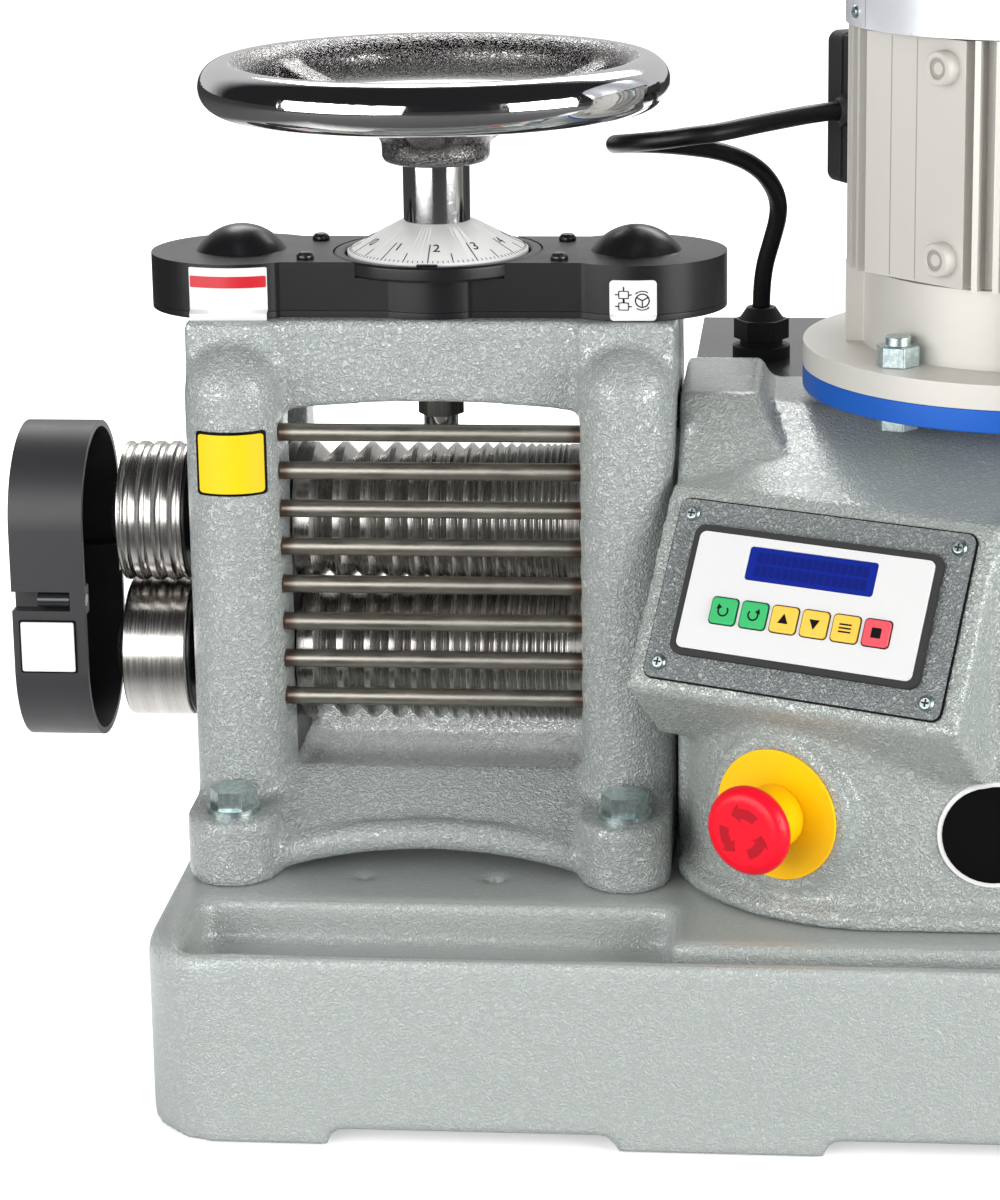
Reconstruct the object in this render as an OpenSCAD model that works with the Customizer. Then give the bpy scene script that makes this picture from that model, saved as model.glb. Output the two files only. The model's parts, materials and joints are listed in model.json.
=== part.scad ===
// Motor driven wire rolling mill: grooved rolls, geared screw-down, drive housing and control console.
// Millimetres. Origin at the centre of the base on the bench plane, X along the rolls, Y to the back, Z up.

/* [Base casting] */
// Width of the base along the rolls
base_w = 550; // [540:1:600]
// Depth of the base, front to back
base_d = 390; // [385:1:430]
// Height of the deck above the bench
base_h = 86; // [84:1:90]
// Radius of the upright corners of the base
base_corner_r = 35; // [20:1:45]
// Radius of the edge round the deck
base_edge_r = 4; // [2:0.5:6]
// Thickness of the skirt
base_wall = 10; // [7:0.5:14]
// Thickness of the deck
deck_t = 34; // [30:1:38]
// Height of the gaps between the feet
foot_gap_h = 6.3; // [4:0.1:8]
// Length of each corner foot
corner_foot_w = 81; // [60:1:90]
// Length of the foot in the middle of the long sides
mid_foot_w = 90; // [60:1:110]
// Depth of the front scale pocket
pocket_h = 20; // [14:1:24]
// Length of the scale pocket in front of the rolls
pocket_w = 208; // [180:1:220]
// Width of the scale pocket, front to back
pocket_d = 57; // [50:1:57]
// Width of the narrow trough to the right of the pocket
trough_d = 15; // [10:1:18]
// Rim left between the pocket and the edges of the base
pocket_rim = 7; // [6:0.5:9]
// Inset of the bench bolts from the ends of the base
bench_in_x = 28; // [27:0.5:30]
// Inset of the bench bolts from the front and back of the base
bench_in_y = 47; // [45:0.5:50]
// Bench bolt hole
bench_hole_d = 13; // [11:0.5:14]
// Boss round a bench bolt hole
bench_boss_d = 34; // [28:1:38]
// Spacing of the two accessory holes in the deck
accessory_pitch = 59; // [40:1:70]
// Accessory hole
accessory_d = 6.8; // [5:0.1:8.5]

/* [Mill frame] */
// Centre of the mill along X
mill_x = -160; // [-162:0.5:-159]
// Roll axis along Y
roll_y = -17; // [-18:0.5:-16]
// Distance between the column axes
column_pitch = 176; // [174:0.5:178]
// Column diameter
column_d = 43; // [40:0.5:44]
// Roll axis to the column axis, front and back
column_y = 46; // [45:0.5:47]
// Window for the bearing blocks
window_w = 48; // [46:0.5:48.5]
// Sill of the window above the deck
sill_h = 36; // [34:0.5:38]
// Height of the frame above the deck
frame_h = 246; // [245:0.5:248]
// Height of the top beam
beam_h = 41; // [38:0.5:44]
// Depth of the top beam
beam_d = 84; // [76:1:90]
// Rise of the arch under the top beam
beam_rise = 4; // [2:0.5:6]
// Height of the bolt bosses above the deck
boss_h = 30; // [24:1:32]
// Width of the bolt bosses
boss_w = 41; // [38:0.5:42]
// Roll axis to the frame bolts
frame_bolt_y = 80; // [79:0.5:82]
// Frame bolt diameter
frame_bolt_d = 12; // [10:1:14]
// Frame bolt head across corners
frame_head_d = 21; // [19:0.5:23]
// Rise of the arch between the front feet
arch_rise = 10; // [7:0.5:12]
// Diameter of the bead along the arch
arch_bar_d = 14; // [10:0.5:16]
// Guard rod diameter
rod_d = 8; // [6:0.5:9]
// Number of guard rods
rod_count = 8; // [6:1:8]
// Pitch of the guard rods
rod_pitch = 17.57; // [16:0.01:17.8]
// Lowest guard rod above the deck
rod_low_h = 73.2; // [70:0.1:76]

/* [Rolls] */
// Roll diameter
roll_d = 65; // [64:0.1:65.3]
// Working length of the rolls
roll_l = 131; // [128:0.5:132]
// Lower roll axis above the deck
roll_h = 82; // [81:0.5:83]
// Distance between the roll axes at rest
roll_pitch = 65.4; // [65.4:0.1:66]
// Journal diameter
journal_d = 32; // [28:1:34]
// Number of wire grooves
groove_count = 18; // [8:1:18]
// Pitch of the largest groove
groove_pitch = 14; // [10:0.2:14]
// Each groove pitch as a part of the one before
groove_ratio = 0.9; // [0.85:0.01:0.9]
// Groove mouth as a part of its pitch
groove_fill = 0.78; // [0.6:0.01:0.9]
// Side roll diameter
side_roll_d = 64.6; // [60:0.2:65]
// Side roll width
side_roll_w = 30; // [26:0.5:31]
// Number of round grooves in the upper side roll
side_groove_count = 4; // [2:1:5]
// Diameter of the round grooves
side_groove_d = 5; // [3:0.2:5.2]
// Side roll seat on the shaft
spigot_d = 25; // [20:0.5:28]
// End cap diameter
cap_d = 34; // [28:0.5:36]
// End cap thickness
cap_t = 6; // [4:0.5:7]
// Shaft collar diameter
collar_d = 38; // [36:0.5:42]
// Roll gear module
roll_gear_m = 5; // [5:0.1:5]
// Roll gear teeth
roll_gear_z = 13; // [13:1:13]
// Roll gear face width
roll_gear_w = 26; // [20:1:28]

/* [Screw-down] */
// Distance between the screw-down spindles
spindle_pitch = 180; // [180:0.5:180]
// Spindle diameter
spindle_d = 24; // [20:0.5:26]
// Screw-down gear module
gear_m = 2; // [2:0.1:2]
// Teeth of the centre gear
centre_z = 30; // [30:1:30]
// Teeth of the idlers
idler_z = 15; // [15:1:15]
// Teeth of the spindle gears
spindle_z = 30; // [30:1:30]
// Thickness of the gear plate
plate_t = 3; // [2:0.5:4]
// Radius of the cover lobes
lobe_r = 41; // [39:0.5:42]
// Radius of the middle of the cover
waist_r = 39; // [38:0.5:40]
// Half width of the straight walls between the lobes
waist_y = 34; // [32:0.5:36]
// Height of the cover above its plate
cover_h = 22; // [21:0.5:26]
// Cover wall
cover_wall = 3; // [2:0.5:3.5]
// Diameter of the spindle domes
dome_d = 41; // [38:0.5:44]
// Height of the spindle domes
dome_h = 11.5; // [10:0.5:13]
// Cover screw spacing along X
screw_x = 114; // [112:0.5:118]
// Cover screw spacing along Y
screw_y = 48; // [46:0.5:52]
// Cover screw head diameter
screw_head_d = 8; // [7:0.5:9]
// Outer radius of the dial bezel
bezel_r = 47.5; // [46.5:0.5:49]
// Radius of the dial
dial_r = 41; // [40:0.2:41.5]
// Height of the dial cone
dial_h = 13; // [10:0.5:15]
// Sleeve under the handwheel
sleeve_d = 30.5; // [28:0.5:33]
// Pivot shaft through the beam
pivot_d = 16; // [12:0.5:18]
// Pivot nut under the beam
pivot_nut_d = 21; // [20:0.5:24]
// Hub underside above the frame top
hub_up = 65; // [62:0.5:68]
// Hub diameter
hub_d = 49; // [44:0.5:52]
// Hub height
hub_h = 18; // [15:0.5:22]
// Handwheel rim centre radius
rim_r = 94.5; // [85:0.5:100]
// Rim section diameter
rim_d = 23; // [18:0.5:24]
// Rim centre above the frame top
rim_up = 101; // [98:0.5:106]
// Width of a spoke
spoke_w = 19; // [14:0.5:22]
// Thickness of a spoke
spoke_t = 10; // [7:0.5:12]

/* [Side guard] */
// Radius of the guard about each side roll
guard_r = 42; // [41.5:0.5:44]
// Depth of the guard along X
guard_l = 34; // [32:0.5:36]
// Guard wall
guard_wall = 3; // [2:0.5:3]
// Distance from the mill centre to the closed face, shown taken off
guard_out = 194.5; // [194:0.5:198]
// Height of the screw grooves
guard_groove_h = 9; // [8:0.5:11]
// Guard screw diameter
guard_screw_d = 6; // [5:0.5:6.5]

/* [Drive housing] */
// Width of the housing lip
housing_w = 316; // [310:1:318]
// Centre of the housing along X
housing_x = 105; // [104:0.5:107]
// Front of the housing lip
housing_front = 156; // [154:0.5:158]
// Back of the housing
housing_back = 35; // [34:0.5:36]
// Radius of the front corners of the lip
housing_r = 92; // [88:0.5:94]
// Height of the lip
lip_h = 8; // [6:0.5:10]
// Step from the lip to the wall
lip_step = 7; // [5:0.5:8]
// Thickness of the housing wall
housing_wall = 9; // [7:0.5:10]
// Height of the front edge above the deck
housing_front_h = 179; // [176:0.5:182]
// Height of the top above the deck
housing_top_h = 203; // [202:0.5:206]
// Height of the gear arm above the deck
arm_h = 212; // [210:0.5:214]
// Right end of the gear arm
arm_right = -2; // [-4:0.5:4]

/* [Console] */
// Console face width
console_w = 155; // [150:0.5:160]
// Console face height along the slope
console_h = 92; // [88:0.5:96]
// Turn of the console to the left
console_turn = 25; // [23:0.5:27]
// Lean of the console to the back
console_tilt = 29; // [27:0.5:31]
// Panel plate width
panel_w = 138; // [130:0.5:144]
// Panel plate height
panel_h = 80; // [76:0.5:84]
// Panel plate thickness
panel_t = 2; // [1.5:0.1:3]
// Keypad bezel width
bezel_w = 116; // [112:0.5:118]
// Keypad bezel height
bezel_h = 58; // [56:0.5:60]
// Keypad bezel thickness in front of the plate
bezel_t = 3; // [2.5:0.1:4]
// Keypad front width
keypad_w = 110; // [108:0.5:111]
// Keypad front height
keypad_h = 52; // [51:0.5:53]
// Key width
key_w = 12; // [10:0.2:12.5]
// Key height
key_h = 11.5; // [9:0.2:12]
// Key pitch
key_pitch = 14.3; // [14:0.1:15]
// Key stand above the keypad front
key_up = 1.2; // [1:0.1:1.6]

/* [Emergency stop] */
// Pad diameter on the housing wall
pad_d = 70; // [64:0.5:72]
// Yellow plate diameter
estop_plate_d = 58; // [54:0.5:62]
// Collar diameter
estop_collar_d = 28; // [27:0.5:30]
// Collar length
estop_collar_l = 13; // [11:0.5:14]
// Mushroom button diameter
estop_d = 39; // [36:0.5:41]
// Mushroom height
estop_h = 10; // [9:0.5:12]
// Height of the stop above the bench
estop_z = 134; // [130:0.5:138]
// Turn of the stop to the left
estop_turn = 29; // [27:0.5:31]

/* [Motor] */
// Motor flange diameter
flange_d = 200; // [196:1:204]
// Gearbox flange thickness
gearbox_flange_t = 10; // [8:0.5:12]
// Motor flange thickness
flange_t = 11; // [9:0.5:12]
// Flange bolt circle
flange_pcd = 165; // [160:1:172]
// Flange bolt diameter
flange_bolt_d = 11; // [9:0.5:12]
// End shield diameter
shield_d = 146; // [138:1:148]
// End shield height
shield_h = 35; // [32:0.5:38]
// Finned body height
motor_h = 108; // [100:1:120]
// Finned body core diameter
motor_d = 140; // [134:1:144]
// Diameter over the fins
fin_d = 162; // [156:1:164]
// Fin thickness
fin_t = 2.6; // [2:0.1:3.5]
// Fan cowl height
cowl_h = 79; // [70:1:84]
// Fan cowl diameter
cowl_d = 164; // [162:0.5:168]
// Terminal box width
terminal_w = 70; // [60:1:74]
// Terminal box depth
terminal_d = 42; // [36:1:46]
// Terminal box height
terminal_h = 69; // [60:1:72]

/* [Electrics box] */
// Left side of the box
box_left = -45; // [-46:0.5:-40]
// Right side of the box
box_right = 225; // [210:1:228]
// Depth of the box
box_d = 152; // [140:1:156]
// Height of the box above the deck
box_h = 198; // [192:0.5:200]
// Sheet thickness
box_t = 2; // [1.5:0.1:3]
// Fold of the lid down the sides
lid_fold = 9; // [6:0.5:12]
// Cable diameter
cable_d = 8.6; // [7:0.1:9]

/* [Hidden] */
$fn = 64;
eps = 0.5;
fit = 0.05;
gap = 0.3;
deck_z = base_h;
frame_top = deck_z + frame_h;
lower_z = deck_z + roll_h;
upper_z = lower_z + roll_pitch;
nip_z = (lower_z + upper_z) / 2;
column_r = column_d / 2;
column_x = column_pitch / 2;
clear_w = column_pitch - column_d;
side_x = column_x + column_r;
beam_z = frame_top - beam_h;
bench_x = base_w - 2 * bench_in_x;
bench_y = base_d - 2 * bench_in_y;
bench_spots = [for (sx = [-1, 1], sy = [-1, 1]) [sx * bench_x / 2, sy * bench_y / 2]];
frame_bolt_spots = [for (sx = [-1, 1], sy = [-1, 1]) [sx * column_x, sy * frame_bolt_y]];
accessory_y = roll_y - 82;
pocket_left = -base_w / 2 + 18;
pocket_back = -base_d / 2 + pocket_rim + pocket_d;
trough_right = 236;
rib_t = 10;
bolt_washer_t = 2.5;
bolt_head_h = 8;
bolt_grip = 24;
arch_half = column_x - boss_w / 2;
arch_r = (arch_half * arch_half + arch_rise * arch_rise) / (2 * arch_rise);
arch_top = deck_z + 19;
ridge_z = deck_z + 41;
saddle_y = frame_bolt_y - 2;
saddle_z = arch_top + 1;
rod_seat = 6;

// Roll and shaft stations, measured from the mill centre
roll_r = roll_d / 2;
block_w = 40;
block_play = 0.2;
bush_r = journal_d / 2 + fit;
collar_in = side_x + 1;
side_roll_in = 117;
side_roll_out = side_roll_in + side_roll_w;
spigot_end = side_roll_out - 0.5;
lower_block_top = nip_z - 2;
upper_block_low = nip_z + 2;
block_top = upper_z + 36;
gear_left = 119;
gear_seat_d = 28;
shaft_end = 150;
drive_d = 25;
drive_end = 330;
groove_start = -roll_l / 2 + 6;
function pitch_at(i) = groove_pitch * pow(groove_ratio, i);
function groove_left(i) = i == 0 ? groove_start : groove_left(i - 1) + pitch_at(i - 1);
groove_points = [
  for (i = [0:groove_count - 1])
    let (c = groove_left(i) + pitch_at(i) / 2, half = groove_fill * pitch_at(i) / 2)
      each [[roll_r, c - half], [roll_r - half, c], [roll_r, c + half]]
];

// Screw-down train
spindle_x = spindle_pitch / 2;
gear_pa = 25;
gear_add = 0.9;
gear_ded = 1.15;
gear_play = 0.28;
roll_gear_add = 0.8;
roll_gear_ded = 1.1;
roll_gear_play = 0.5;
flank_steps = 4;
idler_x = gear_m * (centre_z + idler_z) / 2;
plate_z = frame_top;
gear_z = plate_z + plate_t + 1;
spindle_gear_t = 7;
train_gear_t = 13;
idler_pin_d = 10;
nut_d = 36;
nut_flange_d = 44;
seat_r = 9;
seat_depth = 12;
spindle_top = gear_z + spindle_gear_t + 8;
cover_z = plate_z + plate_t;
cover_top = cover_z + cover_h;
dome_r = (dome_d * dome_d / 4 + dome_h * dome_h) / (2 * dome_h);
dome_in_d = dome_d - 2 * cover_wall;
dome_in_h = dome_h - cover_wall;
dome_in_r = (dome_in_d * dome_in_d / 4 + dome_in_h * dome_in_h) / (2 * dome_in_h);
post_d = 6.5;
screw_head_h = 3;
screw_shank_d = 4;
bezel_low = cover_top - 7;
bezel_floor = bezel_low + 2;
bezel_in_r = waist_r - cover_wall;
dial_low = bezel_floor + 0.8;
dial_edge = cover_top + 0.5;
dial_top_r = sleeve_d / 2 + 1.5;
hub_z = frame_top + hub_up;
rim_z = frame_top + rim_up;
pivot_nut_h = 14;
hub_flare = 8;
spoke_in = hub_d / 2 - 8;
spoke_out = rim_r - rim_d / 2 + 4;
spoke_z = hub_z + hub_h - spoke_t + 3;
spoke_rise = atan2(rim_z - spoke_z, spoke_out - spoke_in);
spoke_angles = [30, 150, 270];

// Side guard
guard_face = -guard_out;
guard_rim = guard_face + guard_l;
trough_in = guard_r - 8.5;
screw_line = guard_r - 4;
trough_wall = 2;

// Housing
wall_w = housing_w - 2 * lip_step;
wall_front = -housing_front + lip_step;
wall_r = housing_r - lip_step;
rear_r = 12;
frame_gap = 1.2;
arm_left = mill_x + side_x + frame_gap;
arm_front = roll_y - 60;
arm_back = roll_y + 47;
arm_wall = 7;
slope_back = -88;
corner = [housing_x - housing_w / 2 + housing_r, -housing_front + housing_r];
housing_z = deck_z + housing_top_h;
console_at = [9, -133, 224];
console_back = 74;
console_under = 30;
roof_rate = 0.35;
panel_lift = 0.1;
panel_screw_x = panel_w - 13;
panel_screw_y = panel_h - 13;
panel_screw_d = 7;
keypad_depth = 14;
window_d2 = [60, 15];
window_at = [0, 14.5];
key_row = -8;
keys = [for (i = [0:5]) [(i - 2.5) * key_pitch, key_row]];

// Emergency stop
pad_up = 3;
estop_dir = [-sin(estop_turn), -cos(estop_turn)];
estop_at = [
  corner[0] + (wall_r + pad_up) * estop_dir[0],
  corner[1] + (wall_r + pad_up) * estop_dir[1],
  estop_z
];
estop_plate_t = 1.6;
estop_hole_d = 22;
estop_stem_d = 12;
estop_bore_d = 12.2;
estop_gap = 5;
estop_tail = 26;

// Motor
motor_x = housing_x;
motor_y = roll_y;
box_clear = 12;
gearbox_flange_z = max(housing_z + 7, deck_z + box_h + box_clear);
flange_z = gearbox_flange_z + gearbox_flange_t;
shield_z = flange_z + flange_t;
motor_z = shield_z + shield_h;
cowl_z = motor_z + motor_h;
neck_d = 78;
gearbox_w = 120;
gearbox_d = 84;
gearbox_low = deck_z + 26;
gearbox_top_gap = 6;
rotor_d = 82;
bore_d = 84;
motor_shaft_d = 19;
fan_d = 132;
pad_w = 58;
pad_reach = 79;
lug_d = 15;
tie_r = 74;
tie_d = 6;
terminal_turn = 30;
terminal_in = fin_d / 2 - 6;
terminal_z = motor_z + 24;
terminal_lid_t = 12;
gland_d = 28;
gland_h = 24;
side_gland_l = 12;
side_gland_at = terminal_in + 16;
side_gland_z = terminal_z + 36;

// Electrics box
box_front = housing_back + 2;
box_top = deck_z + box_h;
gland_at = [-16, 99];
lid_gap = 0.3;
cable_sides = 12;
cable_line = [
  [-16, 99, 296], [-16, 99, 309], [-15.5, 99, 320], [-14, 99, 330], [-11, 98, 341], [-8.5, 96.5, 351],
  [-8, 94, 359], [-10, 91, 367], [-15, 87.5, 375], [-22, 84, 381], [-30, 81, 385], [-38, 79, 387.5],
  [-47, 78, 389], [-59, 76, 390.5], [-70, 69.5, 392], [-78, 60, 393.5], [-82.5, 48, 395], [-82.5, 36, 397],
  [-78, 24, 399], [-70, 14.5, 401], [-59, 8, 403], [-47, 6, 405], [-37.5, 7.2, 406], [-29, 10.8, 407],
  [-18, 17.1, 408.5], [-7, 23.4, 409.8], [4, 29.8, 411], [13, 35, 411.7], [19, 38.4, 412], [25, 41.9, 412]
];
// The ends of the route follow the gland and the terminal box, and its loop stays
cable_last = len(cable_line) - 1;
cable_shift = [box_top - 284, side_gland_z - 412];
cable_route = [
  for (i = [0:cable_last], t = [2 * i / cable_last - 1])
    cable_line[i] + [0, 0, t < 0 ? cable_shift[0] * t * t : cable_shift[1] * t * t]
];

iron = [0.66, 0.69, 0.68];
steel = [0.75, 0.74, 0.72];
bronze = [0.72, 0.55, 0.3];
black = [0.08, 0.08, 0.09];
blue = [0.0, 0.33, 0.7];
silver = [0.78, 0.77, 0.74];
yellow = [0.95, 0.78, 0.05];
red = [0.75, 0.08, 0.08];
white = [0.93, 0.93, 0.92];

// Shared shapes

module rounded_rect(w, d, r) {
  square([w - 2 * r, d], center = true);
  square([w, d - 2 * r], center = true);
  for (sx = [-1, 1], sy = [-1, 1])
    translate([sx * (w / 2 - r), sy * (d / 2 - r)])
      circle(r);
}

// Rounded slab with a rounded upper edge
module soft_slab(w, d, h, r, e) {
  linear_extrude(h - e)
    rounded_rect(w, d, r);
  linear_extrude(h)
    rounded_rect(w - 2 * e, d - 2 * e, r - e);
  for (s = [-1, 1]) {
    translate([-w / 2 + r, s * (d / 2 - e), h - e])
      rotate([0, 90, 0])
        cylinder(r = e, h = w - 2 * r);
    translate([s * (w / 2 - e), d / 2 - r, h - e])
      rotate([90, 0, 0])
        cylinder(r = e, h = d - 2 * r);
  }
  for (sx = [-1, 1], sy = [-1, 1])
    translate([sx * (w / 2 - r), sy * (d / 2 - r), h - e])
      rotate_extrude()
        translate([r - e, 0])
          circle(e);
}

module along_x() {
  rotate([0, 90, 0])
    children();
}

module at_mill(z = 0) {
  translate([mill_x, roll_y, z])
    children();
}

module at_motor(z = 0) {
  translate([motor_x, motor_y, z])
    children();
}

// Console face: x along its width, y up its slope, z out of it
module on_console() {
  translate(console_at)
    rotate([0, 0, -console_turn])
      rotate([90 - console_tilt, 0, 0])
        children();
}

// Stop button: z out of the housing wall
module on_estop() {
  translate(estop_at)
    rotate([0, 0, -estop_turn])
      rotate([90, 0, 0])
        children();
}

// Involute gear outline
function inv(a) = tan(a) * 180 / PI - a;
function half_angle(r, rb, rp, z, play) =
  90 / z - play / (2 * rp) * 180 / PI + inv(gear_pa) - (r > rb ? inv(acos(rb / r)) : 0);
function polar(r, a) = [r * cos(a), r * sin(a)];
function gear_points(z, m, add, ded, play) =
  let (
    rp = m * z / 2,
    rb = rp * cos(gear_pa),
    ra = rp + add * m,
    rr = rp - ded * m,
    r0 = max(rb, rr),
    steps = [for (i = [0:flank_steps]) r0 + (ra - r0) * i / flank_steps]
  ) [
    for (k = [0:z - 1]) let (c = 360 * k / z) each concat(
      rr < rb ? [polar(rr, c - half_angle(rb, rb, rp, z, play))] : [],
      [for (r = steps) polar(r, c - half_angle(r, rb, rp, z, play))],
      [for (i = [flank_steps:-1:0]) polar(steps[i], c + half_angle(steps[i], rb, rp, z, play))],
      rr < rb ? [polar(rr, c + half_angle(rb, rb, rp, z, play))] : []
    )
  ];

module gear(z, m, add, ded, play, h, bore, turn) {
  difference() {
    rotate([0, 0, turn])
      linear_extrude(h)
        polygon(gear_points(z, m, add, ded, play));
    translate([0, 0, -eps])
      cylinder(d = bore, h = h + 2 * eps);
  }
}

// Base

module base_hollow() {
  difference() {
    translate([0, 0, -eps])
      linear_extrude(base_h - deck_t + eps)
        rounded_rect(base_w - 2 * base_wall, base_d - 2 * base_wall, base_corner_r - base_wall);
    for (x = [mill_x + column_x, housing_x])
      translate([x - rib_t / 2, -base_d / 2, foot_gap_h])
        cube([rib_t, base_d, base_h]);
    for (p = bench_spots)
      translate([p[0], p[1], -2 * eps])
        cylinder(d = bench_boss_d, h = base_h);
  }
}

module base_pocket() {
  translate([pocket_left + pocket_w / 2, pocket_back - pocket_d / 2, base_h - pocket_h])
    linear_extrude(pocket_h + eps)
      rounded_rect(pocket_w, pocket_d, trough_d / 2);
  translate([pocket_left, pocket_back - pocket_d, base_h - pocket_h])
    translate([(trough_right - pocket_left) / 2, trough_d / 2, 0])
      linear_extrude(pocket_h + eps)
        rounded_rect(trough_right - pocket_left, trough_d, trough_d / 2 - eps);
}

module foot_gaps() {
  span = (base_w - 2 * corner_foot_w - mid_foot_w) / 2;
  for (x = [-base_w / 2 + corner_foot_w, mid_foot_w / 2 - 27])
    translate([x, -base_d / 2 - eps, -eps])
      cube([x < 0 && x < -mid_foot_w ? span - 27 : span + 27, base_d + 2 * eps, foot_gap_h + eps]);
  translate([-base_w / 2 - eps, -base_d / 2 + corner_foot_w, -eps])
    cube([base_w + 2 * eps, base_d - 2 * corner_foot_w, foot_gap_h + eps]);
}

module base_casting() {
  color(iron)
    difference() {
      soft_slab(base_w, base_d, base_h, base_corner_r, base_edge_r);
      base_hollow();
      base_pocket();
      foot_gaps();
      for (p = bench_spots)
        translate([p[0], p[1], -eps])
          cylinder(d = bench_hole_d, h = base_h + 2 * eps);
      for (p = frame_bolt_spots)
        translate([mill_x + p[0], roll_y + p[1], deck_z - bolt_grip])
          cylinder(d = frame_bolt_d + 2 * fit, h = bolt_grip + eps);
      for (s = [-1, 1])
        translate([mill_x + s * accessory_pitch / 2, accessory_y, deck_z - deck_t - eps])
          cylinder(d = accessory_d, h = deck_t + 2 * eps);
    }
}

// Mill frame

module side_frame() {
  translate([-column_r, -column_y, deck_z])
    cube([column_d, 2 * column_y, frame_h]);
  for (s = [-1, 1]) {
    translate([0, s * column_y, deck_z])
      cylinder(d = column_d, h = frame_h - column_r - 10);
    translate([0, s * column_y, frame_top - column_r - 10])
      sphere(column_r);
    translate([0, s * frame_bolt_y, deck_z])
      cylinder(d = boss_w, h = boss_h);
    translate([-boss_w / 2, s > 0 ? column_y : -frame_bolt_y, deck_z])
      cube([boss_w, frame_bolt_y - column_y, boss_h]);
  }
}

module saddle() {
  difference() {
    translate([-column_x, 0, 0])
      rotate([90, 0, 90])
        linear_extrude(column_pitch)
          polygon([
            [-saddle_y, deck_z], [-saddle_y, saddle_z], [-column_y, ridge_z], [-window_w / 2, ridge_z - 8],
            [window_w / 2, ridge_z - 8], [column_y, ridge_z], [saddle_y, saddle_z], [saddle_y, deck_z]
          ]);
    translate([0, frame_bolt_y + boss_w, arch_top - arch_r])
      rotate([90, 0, 0])
        cylinder(r = arch_r - arch_bar_d / 4, h = 2 * (frame_bolt_y + boss_w), $fn = 256);
  }
  for (s = [-1, 1])
    intersection() {
      translate([0, s * saddle_y, arch_top - arch_r])
        rotate([90, 0, 0])
          rotate_extrude($fn = 256)
            translate([arch_r, 0])
              circle(d = arch_bar_d, $fn = 32);
      translate([-column_x, -base_d, deck_z])
        cube([column_pitch, 2 * base_d, boss_h]);
    }
}

module top_beam() {
  beam_r = (clear_w * clear_w / 4 + beam_rise * beam_rise) / (2 * beam_rise);
  difference() {
    translate([-column_x, -beam_d / 2, beam_z])
      cube([column_pitch, beam_d, beam_h]);
    translate([0, beam_d / 2 + eps, beam_z + beam_rise - beam_r])
      rotate([90, 0, 0])
        cylinder(r = beam_r, h = beam_d + 2 * eps, $fn = 256);
  }
}

module mill_frame() {
  color(iron)
    at_mill()
      difference() {
        union() {
          for (s = [-1, 1])
            translate([s * column_x, 0, 0])
              side_frame();
          saddle();
          top_beam();
        }
        for (s = [-1, 1]) {
          translate([s * column_x - side_x, -window_w / 2, deck_z + sill_h])
            cube([s < 0 ? 2 * side_x - arch_half : 2 * side_x, window_w, beam_z - deck_z - sill_h]);
          translate([s * spindle_x, 0, beam_z - eps])
            cylinder(d = nut_d + 2 * fit, h = beam_h + 2 * eps);
          translate([s * spindle_x, 0, frame_top - 4])
            cylinder(d = nut_flange_d + 2 * fit, h = 4 + eps);
          translate([-side_x - eps, s * screw_line, nip_z])
            along_x()
              cylinder(d = guard_screw_d + 2 * fit, h = 14);
        }
        translate([0, 0, beam_z - eps])
          cylinder(d = pivot_d + 2 * fit, h = beam_h + 2 * eps);
        for (p = frame_bolt_spots)
          translate([p[0], p[1], deck_z - eps])
            cylinder(d = frame_bolt_d + 2 * fit, h = boss_h + 2 * eps);
        for (i = [0:rod_count - 1])
          translate([-clear_w / 2 - rod_seat, -column_y, deck_z + rod_low_h + i * rod_pitch])
            along_x()
              cylinder(d = rod_d + 2 * fit, h = clear_w + 2 * rod_seat);
        for (sx = [-1, 1], sy = [-1, 1])
          translate([sx * screw_x / 2, sy * screw_y / 2, frame_top - 10])
            cylinder(d = screw_shank_d + 2 * fit, h = 10 + eps);
      }
}

// Bolts and their washers, separate solids
module frame_bolts() {
  frame_washers();
  color(steel)
    at_mill()
      for (p = frame_bolt_spots)
        translate([p[0], p[1], 0]) {
          translate([0, 0, deck_z - bolt_grip + 1])
            cylinder(d = frame_bolt_d, h = bolt_grip + boss_h + bolt_washer_t);
          translate([0, 0, deck_z + boss_h + bolt_washer_t])
            cylinder(d = frame_head_d, h = bolt_head_h, $fn = 6);
        }
}

module frame_washers() {
  color(steel)
    at_mill(deck_z + boss_h)
      for (p = frame_bolt_spots)
        translate([p[0], p[1], 0])
          difference() {
            cylinder(d = frame_head_d + 3, h = bolt_washer_t);
            translate([0, 0, -eps])
              cylinder(d = frame_bolt_d + 4 * fit, h = bolt_washer_t + 2 * eps);
          }
}

module guard_rods() {
  color(steel)
    at_mill()
      for (i = [0:rod_count - 1])
        translate([-clear_w / 2 - rod_seat + eps, -column_y, deck_z + rod_low_h + i * rod_pitch])
          along_x()
            cylinder(d = rod_d, h = clear_w + 2 * rod_seat - 2 * eps);
}

// Rolls and bearings

module bearing_block(low, high, axis) {
  difference() {
    translate([-block_w / 2, -window_w / 2 + block_play, low])
      cube([block_w, window_w - 2 * block_play, high - low]);
    translate([-block_w, 0, axis])
      along_x()
        cylinder(r = bush_r, h = 2 * block_w);
  }
}

module lower_blocks() {
  color(steel)
    at_mill()
      for (s = [-1, 1])
        translate([s * column_x, 0, 0])
          bearing_block(deck_z + sill_h, lower_block_top, lower_z);
}

module upper_blocks() {
  color(steel)
    at_mill()
      for (s = [-1, 1])
        difference() {
          translate([s * column_x, 0, 0])
            bearing_block(upper_block_low, block_top, upper_z);
          translate([s * spindle_x, 0, block_top - seat_depth])
            cylinder(r = seat_r + fit, h = seat_depth + eps);
        }
}

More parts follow.
